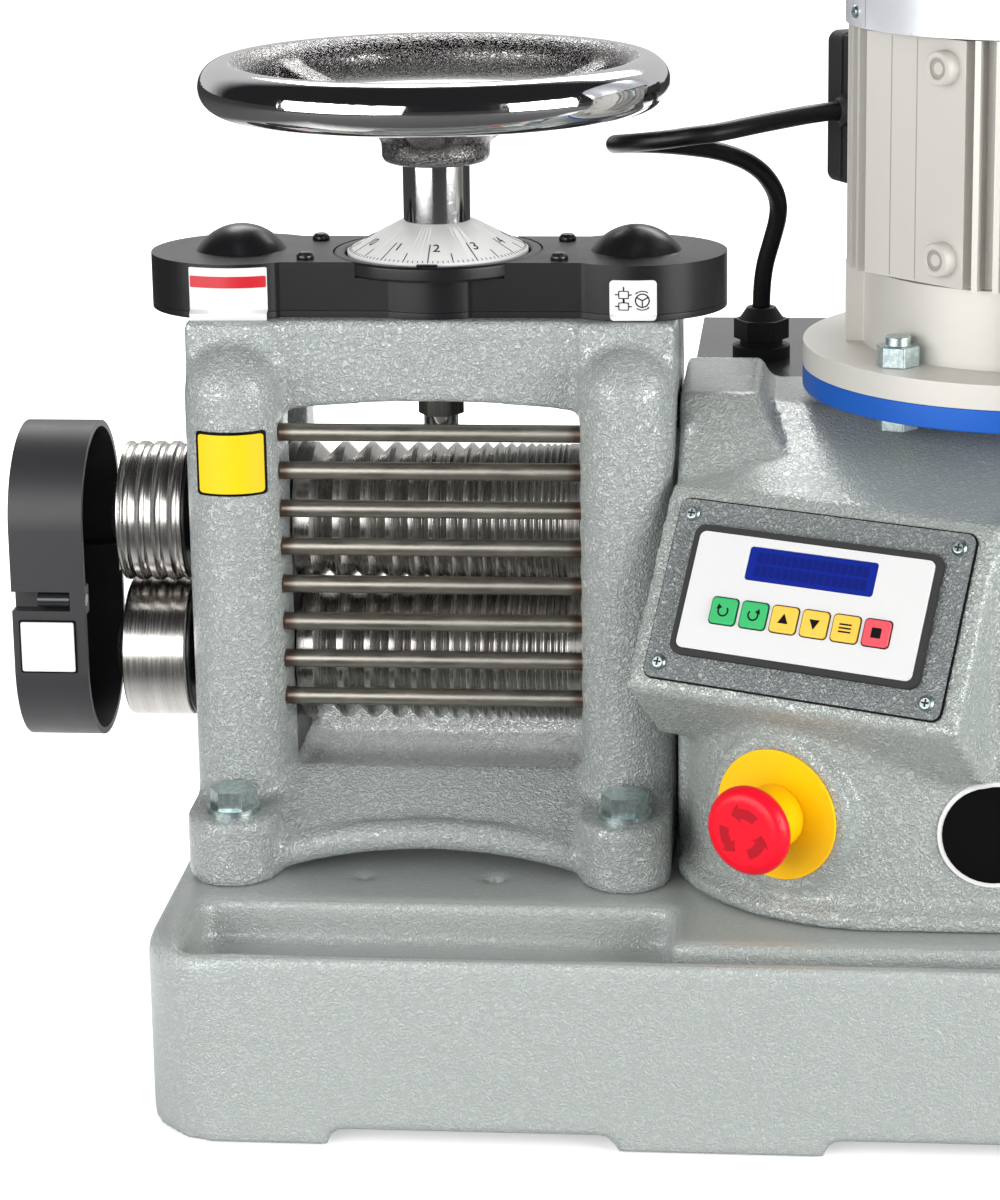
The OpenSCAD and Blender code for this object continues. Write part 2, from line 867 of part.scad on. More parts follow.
module roll_shaft(right) {
  rotate_extrude()
    polygon(concat(
      [[0, -spigot_end], [spigot_d / 2, -spigot_end], [spigot_d / 2, -side_roll_in]],
      [[journal_d / 2, -side_roll_in], [journal_d / 2, -roll_l / 2], [roll_r, -roll_l / 2]],
      groove_points,
      [[roll_r, roll_l / 2], [journal_d / 2, roll_l / 2], [journal_d / 2, gear_left - 1]],
      [[gear_seat_d / 2, gear_left - 1], [gear_seat_d / 2, shaft_end]],
      right > shaft_end ? [[drive_d / 2, shaft_end], [drive_d / 2, right], [0, right]] : [[0, shaft_end]]
    ));
}

module side_roll_profile(grooves) {
  difference() {
    translate([spigot_d / 2 + fit, side_roll_in])
      square([side_roll_d / 2 - spigot_d / 2 - fit, side_roll_w]);
    if (grooves)
      for (i = [0:side_groove_count - 1])
        translate([
          side_roll_d / 2 + side_groove_d / 4,
          side_roll_in + side_roll_w * (i + 0.5) / side_groove_count
        ])
          circle(d = side_groove_d, $fn = 32);
  }
}

module side_roll(z, grooves) {
  at_mill(z)
    rotate([0, -90, 0])
      rotate_extrude()
        side_roll_profile(grooves);
}

module side_cap(z) {
  at_mill(z)
    rotate([0, -90, 0])
      translate([0, 0, side_roll_out])
        rotate_extrude()
          polygon([
            [0, 0], [cap_d / 2, 0], [cap_d / 2, cap_t / 3], [cap_d / 2 - cap_t / 2, cap_t], [0, cap_t]
          ]);
}

module shaft_collar(z) {
  at_mill(z)
    rotate([0, -90, 0])
      rotate_extrude()
        polygon([
          [journal_d / 2 + fit, collar_in], [collar_d / 2, collar_in], [collar_d / 2, side_roll_in - 1.6],
          [side_roll_d / 2 - 1, side_roll_in - 1.6], [side_roll_d / 2 - 1, side_roll_in],
          [journal_d / 2 + fit, side_roll_in]
        ]);
}

module roll_gear(z, turn) {
  at_mill(z)
    translate([gear_left, 0, 0])
      along_x()
        gear(
          roll_gear_z, roll_gear_m, roll_gear_add, roll_gear_ded, roll_gear_play,
          roll_gear_w, gear_seat_d + 2 * fit, turn
        );
}

module lower_roll() {
  color(steel)
    at_mill(lower_z)
      along_x()
        roll_shaft(drive_end);
}

module lower_side_roll() {
  color(steel)
    side_roll(lower_z, false);
}

module lower_side_cap() {
  color(steel)
    side_cap(lower_z);
}

module lower_collar() {
  color(black)
    shaft_collar(lower_z);
}

module lower_roll_gear() {
  color(steel)
    roll_gear(lower_z, 180);
}

module upper_roll() {
  color(steel)
    at_mill(upper_z)
      along_x()
        roll_shaft(shaft_end);
}

module upper_side_roll() {
  color(steel)
    side_roll(upper_z, true);
}

module upper_side_cap() {
  color(steel)
    side_cap(upper_z);
}

module upper_collar() {
  color(black)
    shaft_collar(upper_z);
}

module upper_roll_gear() {
  color(steel)
    roll_gear(upper_z, 180 / roll_gear_z);
}

// Screw-down

module spindle_nuts() {
  color(bronze)
    at_mill()
      for (s = [-1, 1])
        translate([s * spindle_x, 0, beam_z])
          difference() {
            union() {
              cylinder(d = nut_d, h = beam_h);
              translate([0, 0, beam_h - 4])
                cylinder(d = nut_flange_d, h = 4);
            }
            translate([0, 0, -eps])
              cylinder(d = spindle_d + 2 * fit, h = beam_h + 2 * eps);
          }
}

module spindle(side, turn) {
  at_mill()
    translate([side * spindle_x, 0, 0]) {
      translate([0, 0, block_top - seat_depth + gap])
        cylinder(r = seat_r, h = seat_depth);
      translate([0, 0, block_top + gap])
        cylinder(d = spindle_d, h = gear_z - block_top);
      translate([0, 0, gear_z])
        gear(spindle_z, gear_m, gear_add, gear_ded, gear_play, spindle_gear_t, spindle_d / 2, turn);
      translate([0, 0, gear_z])
        cylinder(d = spindle_d - 6, h = spindle_top - gear_z);
    }
}

module spindle_left() {
  color(steel)
    spindle(-1, 180 / spindle_z);
}

module spindle_right() {
  color(steel)
    spindle(1, 180 / spindle_z);
}

module idler(side) {
  at_mill(gear_z)
    translate([side * idler_x, 0, 0])
      gear(idler_z, gear_m, gear_add, gear_ded, gear_play, train_gear_t, idler_pin_d + 2 * fit, side > 0 ? 0 : 180);
}

module idler_left() {
  color(steel)
    idler(-1);
}

module idler_right() {
  color(steel)
    idler(1);
}

module centre_gear() {
  color(steel)
    at_mill(gear_z)
      gear(centre_z, gear_m, gear_add, gear_ded, gear_play, train_gear_t, pivot_d + 2 * fit, 0);
}

module cover_outline(inset) {
  for (s = [-1, 1])
    translate([s * spindle_x, 0])
      circle(lobe_r - inset);
  circle(waist_r - inset);
  square([spindle_pitch, 2 * (waist_y - inset)], center = true);
}

module gear_plate() {
  color(black)
    at_mill(plate_z) {
      difference() {
        linear_extrude(plate_t)
          cover_outline(0);
        for (s = [-1, 1])
          translate([s * spindle_x, 0, -eps])
            cylinder(d = spindle_d + 4, h = plate_t + 2 * eps);
        translate([0, 0, -eps])
          cylinder(d = pivot_d + 4, h = plate_t + 2 * eps);
        for (sx = [-1, 1], sy = [-1, 1])
          translate([sx * screw_x / 2, sy * screw_y / 2, -eps])
            cylinder(d = screw_shank_d + 2 * fit, h = plate_t + 2 * eps);
      }
      for (s = [-1, 1])
        translate([s * idler_x, 0, plate_t])
          cylinder(d = idler_pin_d, h = train_gear_t + 1);
    }
}

module dome(r, d, h) {
  intersection() {
    translate([0, 0, h - r])
      sphere(r, $fn = 128);
    cylinder(d = d + 2, h = h + eps);
  }
}

module gear_cover() {
  color(black)
    at_mill()
      difference() {
        union() {
          difference() {
            union() {
              translate([0, 0, cover_z])
                linear_extrude(cover_h)
                  cover_outline(0);
              for (s = [-1, 1])
                translate([s * spindle_x, 0, cover_top])
                  dome(dome_r, dome_d, dome_h);
            }
            translate([0, 0, cover_z - eps])
              linear_extrude(cover_h - cover_wall + eps)
                cover_outline(cover_wall);
            for (s = [-1, 1]) {
              translate([s * spindle_x, 0, cover_top - cover_wall - eps])
                cylinder(d = dome_in_d - 1, h = cover_wall + 2 * eps);
              translate([s * spindle_x, 0, cover_top])
                dome(dome_in_r, dome_in_d, dome_in_h);
            }
          }
          for (sx = [-1, 1], sy = [-1, 1])
            translate([sx * screw_x / 2, sy * screw_y / 2, cover_z])
              cylinder(d = post_d, h = cover_h);
        }
        translate([0, 0, bezel_low])
          cylinder(r = bezel_r + fit, h = cover_h);
        translate([0, 0, bezel_low - cover_h / 2])
          cylinder(r = bezel_in_r, h = cover_h);
        for (sx = [-1, 1], sy = [-1, 1])
          translate([sx * screw_x / 2, sy * screw_y / 2, cover_z - eps])
            cylinder(d = screw_shank_d + 2 * fit, h = cover_h + 2 * eps);
      }
}

module cover_screws() {
  color(black)
    at_mill()
      for (sx = [-1, 1], sy = [-1, 1])
        translate([sx * screw_x / 2, sy * screw_y / 2, 0]) {
          translate([0, 0, frame_top - 8])
            cylinder(d = screw_shank_d, h = cover_top - frame_top + 8);
          translate([0, 0, cover_top])
            rotate_extrude()
              polygon([
                [0, 0], [screw_head_d / 2, 0], [screw_head_d / 2, screw_head_h / 2],
                [screw_head_d / 3, screw_head_h], [0, screw_head_h]
              ]);
        }
}

module dial_bezel() {
  color(black)
    at_mill()
      rotate_extrude()
        polygon([
          [pivot_d, bezel_low], [bezel_r - 1, bezel_low], [bezel_r, bezel_low + 1], [bezel_r, cover_top - 1],
          [bezel_r - 1, cover_top], [dial_r + 2, cover_top], [dial_r + 1, cover_top - 1],
          [dial_r + 1, bezel_floor], [pivot_d, bezel_floor]
        ]);
}

module dial() {
  color(white)
    at_mill()
      rotate_extrude()
        polygon([
          [pivot_d / 2 + fit, dial_low], [dial_r, dial_low], [dial_r, dial_edge],
          [dial_top_r, dial_edge + dial_h], [pivot_d / 2 + fit, dial_edge + dial_h]
        ]);
}

module handwheel_shaft() {
  color(steel)
    at_mill()
      rotate_extrude()
        polygon([
          [0, beam_z - pivot_nut_h - 3], [pivot_d / 2, beam_z - pivot_nut_h - 3],
          [pivot_d / 2, dial_edge + dial_h], [sleeve_d / 2, dial_edge + dial_h], [sleeve_d / 2, hub_z],
          [pivot_d / 2, hub_z], [pivot_d / 2, hub_z + hub_h - 4], [0, hub_z + hub_h - 4]
        ]);
}

module pivot_nut() {
  color(steel)
    at_mill(beam_z + beam_rise - pivot_nut_h)
      difference() {
        union() {
          cylinder(d = pivot_nut_d, h = pivot_nut_h - gap, $fn = 6);
          translate([0, 0, pivot_nut_h - gap - 4])
            cylinder(d = pivot_nut_d + 3, h = 4 - gap);
        }
        translate([0, 0, -eps])
          cylinder(d = pivot_d + 2 * fit, h = pivot_nut_h + 2 * eps);
      }
}

module spoke() {
  translate([spoke_in, 0, spoke_z])
    rotate([0, 90 - spoke_rise, 0])
      linear_extrude((spoke_out - spoke_in) / cos(spoke_rise))
        rounded_rect(spoke_t, spoke_w, spoke_t / 2 - eps);
}

module handwheel() {
  color(steel)
    at_mill()
      difference() {
        union() {
          rotate_extrude($fn = 128)
            translate([rim_r, rim_z])
              circle(d = rim_d, $fn = 48);
          translate([0, 0, hub_z])
            rotate_extrude()
              polygon([
                [0, 0], [hub_d / 2 - 2, 0], [hub_d / 2, 2], [hub_d / 2, hub_h - 8],
                [hub_d / 2 + hub_flare, hub_h], [hub_d / 2 - 3, hub_h + 3], [0, hub_h + 3]
              ]);
          for (a = spoke_angles)
            rotate([0, 0, a])
              spoke();
        }
        translate([0, 0, hub_z - eps])
          cylinder(d = pivot_d + 2 * fit, h = hub_h - 4 + gap + eps);
      }
}

// Side guard

module guard_section(r) {
  translate([lower_z, 0])
    circle(r);
  translate([upper_z, 0])
    circle(r);
  translate([lower_z, -r])
    square([roll_pitch, 2 * r]);
}

module side_guard() {
  color(black)
    at_mill()
      translate([guard_rim, 0, 0])
        rotate([0, -90, 0])
          difference() {
            union() {
              difference() {
                linear_extrude(guard_l)
                  guard_section(guard_r);
                translate([0, 0, -eps])
                  linear_extrude(guard_l - guard_wall + eps)
                    guard_section(guard_r - guard_wall);
              }
              for (s = [-1, 1])
                translate([
                  nip_z - guard_groove_h / 2 - trough_wall,
                  s > 0 ? trough_in : -guard_r + eps,
                  0
                ])
                  cube([guard_groove_h + 2 * trough_wall, guard_r - eps - trough_in, guard_l]);
            }
            for (s = [-1, 1]) {
              translate([nip_z - guard_groove_h / 2, s > 0 ? trough_in + trough_wall - 1 : -2 * guard_r, 7])
                cube([guard_groove_h, 2 * guard_r - trough_in - trough_wall + 1, guard_l]);
              translate([nip_z, s * screw_line, -eps])
                cylinder(d = guard_screw_d + 2 * fit, h = guard_l);
            }
          }
}

module guard_screws() {
  color(black)
    at_mill()
      for (s = [-1, 1])
        translate([guard_rim, s * screw_line, nip_z])
          rotate([0, -90, 0]) {
            cylinder(d = guard_screw_d, h = 16);
            translate([0, 0, 7 + gap])
              cylinder(d = guard_groove_h - 2 * gap - 1.6, h = 15);
          }
}

// Drive housing

module housing_outline(w, front, r) {
  back = housing_back - (housing_w - w) / 4;
  translate([housing_x - w / 2, front + r])
    square([w, back - rear_r - front - r]);
  translate([housing_x - w / 2 + r, front])
    square([w - 2 * r, back - front - rear_r]);
  translate([housing_x - w / 2 + rear_r, front + r])
    square([w - 2 * rear_r, back - front - r]);
  for (s = [-1, 1]) {
    translate([housing_x + s * (w / 2 - r), front + r])
      circle(r, $fn = 128);
    translate([housing_x + s * (w / 2 - rear_r), back - rear_r])
      circle(rear_r);
  }
}

// Slope of the top, drop below the outer skin for the inside
module slope_prism(drop) {
  translate([-base_w, 0, 0])
    rotate([90, 0, 90])
      linear_extrude(2 * base_w)
        polygon([
          [-base_d, -eps], [-base_d, deck_z + housing_front_h - drop - (base_d + wall_front) * slope_rate],
          [slope_back, housing_z - drop], [base_d, housing_z - drop], [base_d, -eps]
        ]);
}
slope_rate = (housing_top_h - housing_front_h) / (slope_back - wall_front);

module arm_prism(inset) {
  top = deck_z + arm_h - inset;
  intersection() {
    translate([0, arm_back - inset, 0])
      rotate([90, 0, 0])
        linear_extrude(arm_back - arm_front - 2 * inset)
          polygon([
            [arm_left + inset, deck_z], [arm_left + inset, top], [arm_right - 12, top],
            [arm_right - inset, top - 24], [arm_right - inset, deck_z]
          ]);
    translate([-base_w, 0, 0])
      rotate([90, 0, 90])
        linear_extrude(2 * base_w)
          polygon([
            [arm_front + inset, deck_z], [arm_front + inset, top - 34], [arm_front + inset + 30, top],
            [arm_back - inset, top], [arm_back - inset, deck_z]
          ]);
  }
}

module console_wedge() {
  half_y = console_h / 2 * sin(console_tilt);
  half_z = console_h / 2 * cos(console_tilt);
  translate(console_at)
    rotate([0, 0, -console_turn])
      translate([-console_w / 2, 0, 0])
        rotate([90, 0, 90])
          linear_extrude(console_w)
            polygon([
              [-half_y, -half_z], [half_y, half_z], [console_back, half_z],
              [console_back, -half_z - console_under], [-half_y + console_under, -half_z - console_under]
            ]);
}

// Everything in front of the console face and above the roof that runs up from its top edge
module console_front(inset) {
  half_y = console_h / 2 * sin(console_tilt);
  half_z = console_h / 2 * cos(console_tilt);
  over = 120;
  width = console_w + 2 * inset + 2 * eps;
  translate(console_at)
    rotate([0, 0, -console_turn])
      translate([-width / 2, inset + eps, -inset * 0.8 - eps])
        rotate([90, 0, 90])
          linear_extrude(width)
            polygon([
              [-half_y - 12 * tan(console_tilt), -half_z - 12], [half_y, half_z],
              [half_y + over, half_z + over * roof_rate], [half_y + over, half_z + over],
              [-over, half_z + over], [-over, -half_z - 12]
            ]);
}

module housing_skin() {
  difference() {
    union() {
      intersection() {
        translate([0, 0, deck_z])
          linear_extrude(housing_top_h)
            housing_outline(wall_w, wall_front, wall_r);
        slope_prism(0);
      }
    }
    console_front(0);
  }
  arm_prism(0);
  translate([0, 0, deck_z])
    linear_extrude(lip_h)
      housing_outline(housing_w, -housing_front, housing_r);
  console_wedge();
  on_estop()
    translate([0, 0, -pad_up - housing_wall + 1])
      cylinder(d = pad_d, h = pad_up + housing_wall - 1);
}

module housing_cavity() {
  difference() {
    intersection() {
      translate([0, 0, deck_z - eps])
        linear_extrude(housing_top_h)
          housing_outline(wall_w - 2 * housing_wall, wall_front + housing_wall, wall_r - housing_wall);
      slope_prism(housing_wall);
    }
    console_front(housing_wall);
  }
  intersection() {
    arm_prism(arm_wall);
    translate([-base_w, -base_d, lower_z - roll_r - 16])
      cube([2 * base_w, 2 * base_d, base_w]);
  }
}

// Room for the mill frame beside the housing
module mill_clearance() {
  reach = base_w + side_x + frame_gap;
  translate([mill_x - base_w, roll_y - column_y, deck_z - eps])
    cube([reach, base_d, base_w]);
  translate([mill_x - base_w, -base_d, deck_z - eps])
    cube([reach, 2 * base_d, boss_h + bolt_washer_t + bolt_head_h]);
  at_mill(deck_z - eps)
    translate([column_x, -column_y, 0])
      cylinder(r = column_r + frame_gap, h = base_w);
}

module drive_housing() {
  color(iron)
    difference() {
      housing_skin();
      housing_cavity();
      mill_clearance();
      at_mill(lower_z)
        along_x()
          cylinder(d = journal_d + 4, h = -mill_x + arm_right - 10);
      at_mill(lower_z + roll_pitch) {
        along_x()
          cylinder(d = journal_d + 4, h = -mill_x + arm_left + arm_wall + eps);
        translate([0, 0, 7])
          along_x()
            cylinder(d = journal_d + 4, h = -mill_x + arm_left + arm_wall + eps);
      }
      at_motor(housing_z - 3 * housing_wall)
        cylinder(d = neck_d + 1, h = 4 * housing_wall);
      on_console()
        translate([0, 0, -keypad_depth - 2])
          linear_extrude(keypad_depth + 2 + eps)
            square([keypad_w - 6, keypad_h - 6], center = true);
      on_console()
        for (sx = [-1, 1], sy = [-1, 1])
          translate([sx * panel_screw_x / 2, sy * panel_screw_y / 2, -8])
            cylinder(d = 3.4, h = 8 + eps);
      on_estop()
        translate([0, 0, -3 * housing_wall])
          cylinder(d = estop_hole_d + 2 * fit, h = 4 * housing_wall);
    }
}

module panel_plate() {
  color(iron)
    on_console()
      translate([0, 0, panel_lift])
        difference() {
          linear_extrude(panel_t)
            rounded_rect(panel_w, panel_h, 4);
          translate([0, 0, -eps])
            linear_extrude(panel_t + 2 * eps)
              square([keypad_w - 6, keypad_h - 6], center = true);
          for (sx = [-1, 1], sy = [-1, 1])
            translate([sx * panel_screw_x / 2, sy * panel_screw_y / 2, -eps])
              cylinder(d = 3.4, h = panel_t + 2 * eps);
        }
}

module panel_screws() {
  color(steel)
    on_console()
      for (sx = [-1, 1], sy = [-1, 1])
        translate([sx * panel_screw_x / 2, sy * panel_screw_y / 2, 0]) {
          translate([0, 0, -7])
            cylinder(d = 3.2, h = 7 + panel_lift + panel_t);
          translate([0, 0, panel_lift + panel_t])
            rotate_extrude()
              polygon([
                [0, 0], [panel_screw_d / 2, 0], [panel_screw_d / 2, 0.8], [panel_screw_d / 3, 1.8], [0, 1.8]
              ]);
        }
}

module key_holes(z, h) {
  for (k = keys)
    translate([k[0], k[1], z])
      linear_extrude(h)
        rounded_rect(key_w + 2 * gap, key_h + 2 * gap, 2);
}

// Black frame on the plate with the body of the unit behind it
module keypad_bezel() {
  color(black)
    on_console()
      difference() {
        union() {
          translate([0, 0, panel_lift + panel_t])
            linear_extrude(bezel_t)
              rounded_rect(bezel_w, bezel_h, 5);
          translate([0, 0, -keypad_depth])
            linear_extrude(keypad_depth + panel_lift + panel_t)
              square([keypad_w - 6.6, keypad_h - 6.6], center = true);
        }
        translate([0, 0, panel_lift + panel_t + 1])
          linear_extrude(bezel_t)
            rounded_rect(keypad_w + 2 * gap, keypad_h + 2 * gap, 3);
        key_holes(panel_t - 4, 2 * bezel_t + 4);
      }
}

module keypad_face() {
  color(white)
    on_console()
      difference() {
        translate([0, 0, panel_lift + panel_t + 1])
          linear_extrude(bezel_t - 0.6)
            rounded_rect(keypad_w, keypad_h, 3);
        key_holes(0, 3 * bezel_t);
        translate([window_at[0], window_at[1], panel_lift + panel_t + bezel_t - 0.6])
          linear_extrude(bezel_t)
            rounded_rect(window_d2[0], window_d2[1], 1.5);
      }
}

module key_cap(i) {
  on_console()
    translate([keys[i][0], keys[i][1], panel_t - 2])
      linear_extrude(panel_lift + bezel_t + 2.4 + key_up)
        rounded_rect(key_w, key_h, 1.8);
}

module key_forward() {
  color([0.1, 0.55, 0.25])
    key_cap(0);
}

module key_reverse() {
  color([0.1, 0.55, 0.25])
    key_cap(1);
}

module key_up() {
  color([0.95, 0.6, 0.1])
    key_cap(2);
}

module key_down() {
  color([0.95, 0.6, 0.1])
    key_cap(3);
}

module key_mode() {
  color([0.95, 0.6, 0.1])
    key_cap(4);
}

module key_stop() {
  color(red)
    key_cap(5);
}

// Emergency stop

module estop_plate() {
  color(yellow)
    on_estop()
      difference() {
        cylinder(d = estop_plate_d, h = estop_plate_t);
        translate([0, 0, -eps])
          cylinder(d = estop_hole_d + 2 * fit, h = estop_plate_t + 2 * eps);
      }
}

module estop_collar() {
  color(yellow)
    on_estop()
      difference() {
        union() {
          translate([0, 0, -housing_wall - 6])
            cylinder(d = estop_hole_d, h = housing_wall + 6 + estop_plate_t);
          translate([0, 0, estop_plate_t])
            cylinder(d = estop_collar_d, h = estop_collar_l);
        }
        translate([0, 0, -estop_tail])
          cylinder(d = estop_bore_d, h = 2 * estop_tail + estop_collar_l);
      }
}

estop_low = estop_plate_t + estop_collar_l + estop_gap;

module estop_stem() {
  color(steel)
    on_estop()
      translate([0, 0, 4 - housing_wall])
        cylinder(d = estop_stem_d, h = estop_low + housing_wall - 1);
}

module estop_button() {
  color(red)
    on_estop()
      translate([0, 0, estop_low])
        rotate_extrude()
          polygon([
            [0, 3 + gap], [estop_stem_d / 2 + fit, 3 + gap], [estop_stem_d / 2 + fit, 0], [estop_d / 2 - 3, 0],
            [estop_d / 2, 2.5], [estop_d / 2, estop_h - 4], [estop_d / 2 - 2.5, estop_h - 1],
            [estop_d / 2 - 6, estop_h], [0, estop_h]
          ]);
}

// Motor and gearbox

module at_flange_bolts() {
  for (a = [45:90:315])
    rotate([0, 0, a])
      translate([flange_pcd / 2, 0, 0])
        children();
}

module gearbox_case() {
  color(blue)
    difference() {
      union() {
        translate([motor_x, motor_y, gearbox_low])
          linear_extrude(housing_z - housing_wall - gearbox_top_gap - gearbox_low)
            rounded_rect(gearbox_w, gearbox_d, 14);
        at_motor(housing_z - 3 * housing_wall)
          cylinder(d = neck_d, h = gearbox_flange_z - housing_z + 3 * housing_wall);
        at_motor(gearbox_flange_z)
          difference() {
            cylinder(d = flange_d, h = gearbox_flange_t);
            at_flange_bolts()
              translate([0, 0, -eps])
                cylinder(d = flange_bolt_d + 2 * fit, h = gearbox_flange_t + 2 * eps);
          }
      }
      at_mill(lower_z)
        along_x()
          cylinder(d = drive_d + 2 * fit, h = drive_end + 10);
      at_motor(housing_z - 40)
        cylinder(d = motor_shaft_d + 2 * fit, h = gearbox_flange_z + gearbox_flange_t + eps - housing_z + 40);
    }
}

module motor_flange() {
  color(silver)
    at_motor(flange_z)
      difference() {
        union() {
          cylinder(d = flange_d, h = flange_t);
          cylinder(d = shield_d, h = flange_t + shield_h);
          for (a = [0:90:270])
            rotate([0, 0, a])
              translate([tie_r - 7, -7, 0])
                cube([14, 14, flange_t + shield_h]);
        }
        at_flange_bolts()
          translate([0, 0, -eps])
            cylinder(d = flange_bolt_d + 2 * fit, h = flange_t + 2 * eps);
        translate([0, 0, -eps])
          cylinder(d = motor_shaft_d + 2 * fit, h = flange_t + shield_h + 2 * eps);
        for (a = [0:90:270])
          rotate([0, 0, a])
            translate([tie_r, 0, flange_t])
              cylinder(d = tie_d + 2 * fit, h = shield_h + eps);
      }
}

module flange_bolts() {
  head = flange_bolt_d * 1.75;
  color(steel)
    at_motor(gearbox_flange_z)
      at_flange_bolts() {
        translate([0, 0, -7])
          cylinder(d = head, h = 7, $fn = 6);
        translate([0, 0, -7])
          cylinder(d = flange_bolt_d, h = gearbox_flange_t + flange_t + 7 + 13);
        translate([0, 0, gearbox_flange_t + flange_t])
          cylinder(d = head, h = 9, $fn = 6);
      }
}

module motor_body() {
  color(silver)
    at_motor(motor_z)
      difference() {
        union() {
          cylinder(d = motor_d, h = motor_h);
          for (q = [0:90:270], a = [-19.5, -13, -6.5, 6.5, 13, 19.5])
            rotate([0, 0, q + a])
              translate([motor_d / 2 - 4, -fin_t / 2, 0.5])
                cube([(fin_d - motor_d) / 2 + 4, fin_t, motor_h - 1]);
          for (q = [45:90:315])
            rotate([0, 0, q])
              translate([0, -pad_w / 2, 1])
                cube([pad_reach - 5, pad_w, motor_h - 2]);
          for (q = [225, 315], z = [9, motor_h - 17])
            rotate([0, 0, q])
              translate([pad_reach - 8, (q - 270) / 45 * -18, z + 4])
                along_x()
                  cylinder(d = lug_d, h = 8);
        }
        translate([0, 0, -eps])
          cylinder(d = bore_d, h = motor_h - 12);
        translate([0, 0, -eps])
          cylinder(d = motor_shaft_d + 2 * fit, h = motor_h + 2 * eps);
        for (a = [0:90:270])
          rotate([0, 0, a])
            translate([tie_r - 6, -5, -eps])
              cube([fin_d, 10, motor_h + 2 * eps]);
      }
}

module tie_rods() {
  color(steel)
    at_motor(shield_z + 6)
      for (a = [0:90:270])
        rotate([0, 0, a])
          translate([tie_r, 0, 0])
            cylinder(d = tie_d, h = shield_h + motor_h - 6.5);
}

module fan_cowl() {
  color(silver)
    at_motor(cowl_z)
      difference() {
        rotate_extrude($fn = 128)
          difference() {
            union() {
              square([cowl_d / 2, cowl_h - 10]);
              square([cowl_d / 2 - 10, cowl_h]);
              translate([cowl_d / 2 - 10, cowl_h - 10])
                circle(10);
            }
            translate([-1, -eps])
              square([cowl_d / 2 - 1, cowl_h - 10 + eps]);
            translate([-1, -eps])
              square([cowl_d / 2 - 9, cowl_h - 2 + eps]);
          }
        for (a = [0:15:345])
          rotate([0, 0, a])
            translate([22, -2, cowl_h - 12])
              cube([40, 4, 20]);
      }
}

module motor_rotor() {
  color(steel)
    at_motor() {
      translate([0, 0, housing_z - 34])
        cylinder(d = motor_shaft_d, h = cowl_z + 48 - housing_z + 34);
      translate([0, 0, motor_z + 4])
        cylinder(d = rotor_d, h = motor_h - 20);
    }
}

module cooling_fan() {
  color(black)
    at_motor(cowl_z + 12)
      difference() {
        union() {
          cylinder(d = 40, h = 34);
          cylinder(d = fan_d - 20, h = 3);
          for (a = [0:40:320])
            rotate([0, 0, a])
              translate([15, -1.5, 0])
                cube([fan_d / 2 - 15, 3, 30]);
        }
        translate([0, 0, -eps])
          cylinder(d = motor_shaft_d + 2 * fit, h = 40);
      }
}

// Terminal box: z up, y away from the motor
module at_terminal() {
  at_motor(terminal_z)
    rotate([0, 0, terminal_turn])
      translate([0, terminal_in, 0])
        children();
}

// Box with its lid, two solids
module terminal_box() {
  terminal_lid();
  color(black)
    at_terminal()
      difference() {
        translate([-terminal_w / 2, 0, 0])
          cube([terminal_w, terminal_d - terminal_lid_t, terminal_h]);
        translate([-terminal_w / 2 + 3, 4, 3])
          cube([terminal_w - 6, terminal_d, terminal_h - 6]);
        translate([0, -terminal_in, -terminal_h])
          cylinder(d = fin_d + 2 * gap, h = 3 * terminal_h);
      }
}

module terminal_lid() {
  color(black)
    at_terminal()
      translate([0, terminal_d + gap, terminal_h / 2])
        rotate([90, 0, 0])
          linear_extrude(terminal_lid_t)
            rounded_rect(terminal_w + 2, terminal_h + 2, 5);
}

module gland_body(h, d) {
  cylinder(d = d, h = h * 0.22);
  cylinder(d = d * 0.74, h = h * 0.5);
  translate([0, 0, h * 0.36])
    cylinder(d = d * 0.96, h = h * 0.4, $fn = 6);
  translate([0, 0, h * 0.74])
    cylinder(d1 = d * 0.8, d2 = d * 0.5, h = h * 0.26);
}

module cable_glands() {
  color(black) {
    translate([gland_at[0], gland_at[1], box_top])
      difference() {
        gland_body(gland_h, gland_d);
        translate([0, 0, -eps])
          cylinder(d = cable_d + 2 * gap, h = gland_h + 2 * eps);
      }
    at_terminal()
      translate([-terminal_w / 2, side_gland_at - terminal_in, side_gland_z - terminal_z])
        rotate([0, -90, 0])
          difference() {
            gland_body(side_gland_l, 16);
            translate([0, 0, 1])
              cylinder(d = cable_d + 2 * gap, h = side_gland_l);
          }
  }
}

module electrics_box() {
  color(black)
    translate([box_left, box_front, deck_z])
      difference() {
        cube([box_right - box_left, box_d, box_h - box_t - lid_gap]);
        translate([box_t, box_t, box_t])
          cube([box_right - box_left - 2 * box_t, box_d - 2 * box_t, box_h]);
      }
}

module electrics_cover() {
  w = box_right - box_left;
  color(black)
    translate([box_left, box_front, box_top - lid_fold])
      difference() {
        translate([-box_t - lid_gap, 0, 0])
          cube([w + 2 * box_t + 2 * lid_gap, box_d + box_t + lid_gap, lid_fold]);
        translate([-lid_gap, -eps, -eps])
          cube([w + 2 * lid_gap, box_d + lid_gap + eps, lid_fold - box_t + eps]);
        translate([gland_at[0] - box_left, gland_at[1] - box_front, 0])
          cylinder(d = cable_d + 2 * gap, h = 2 * lid_fold);
      }
}

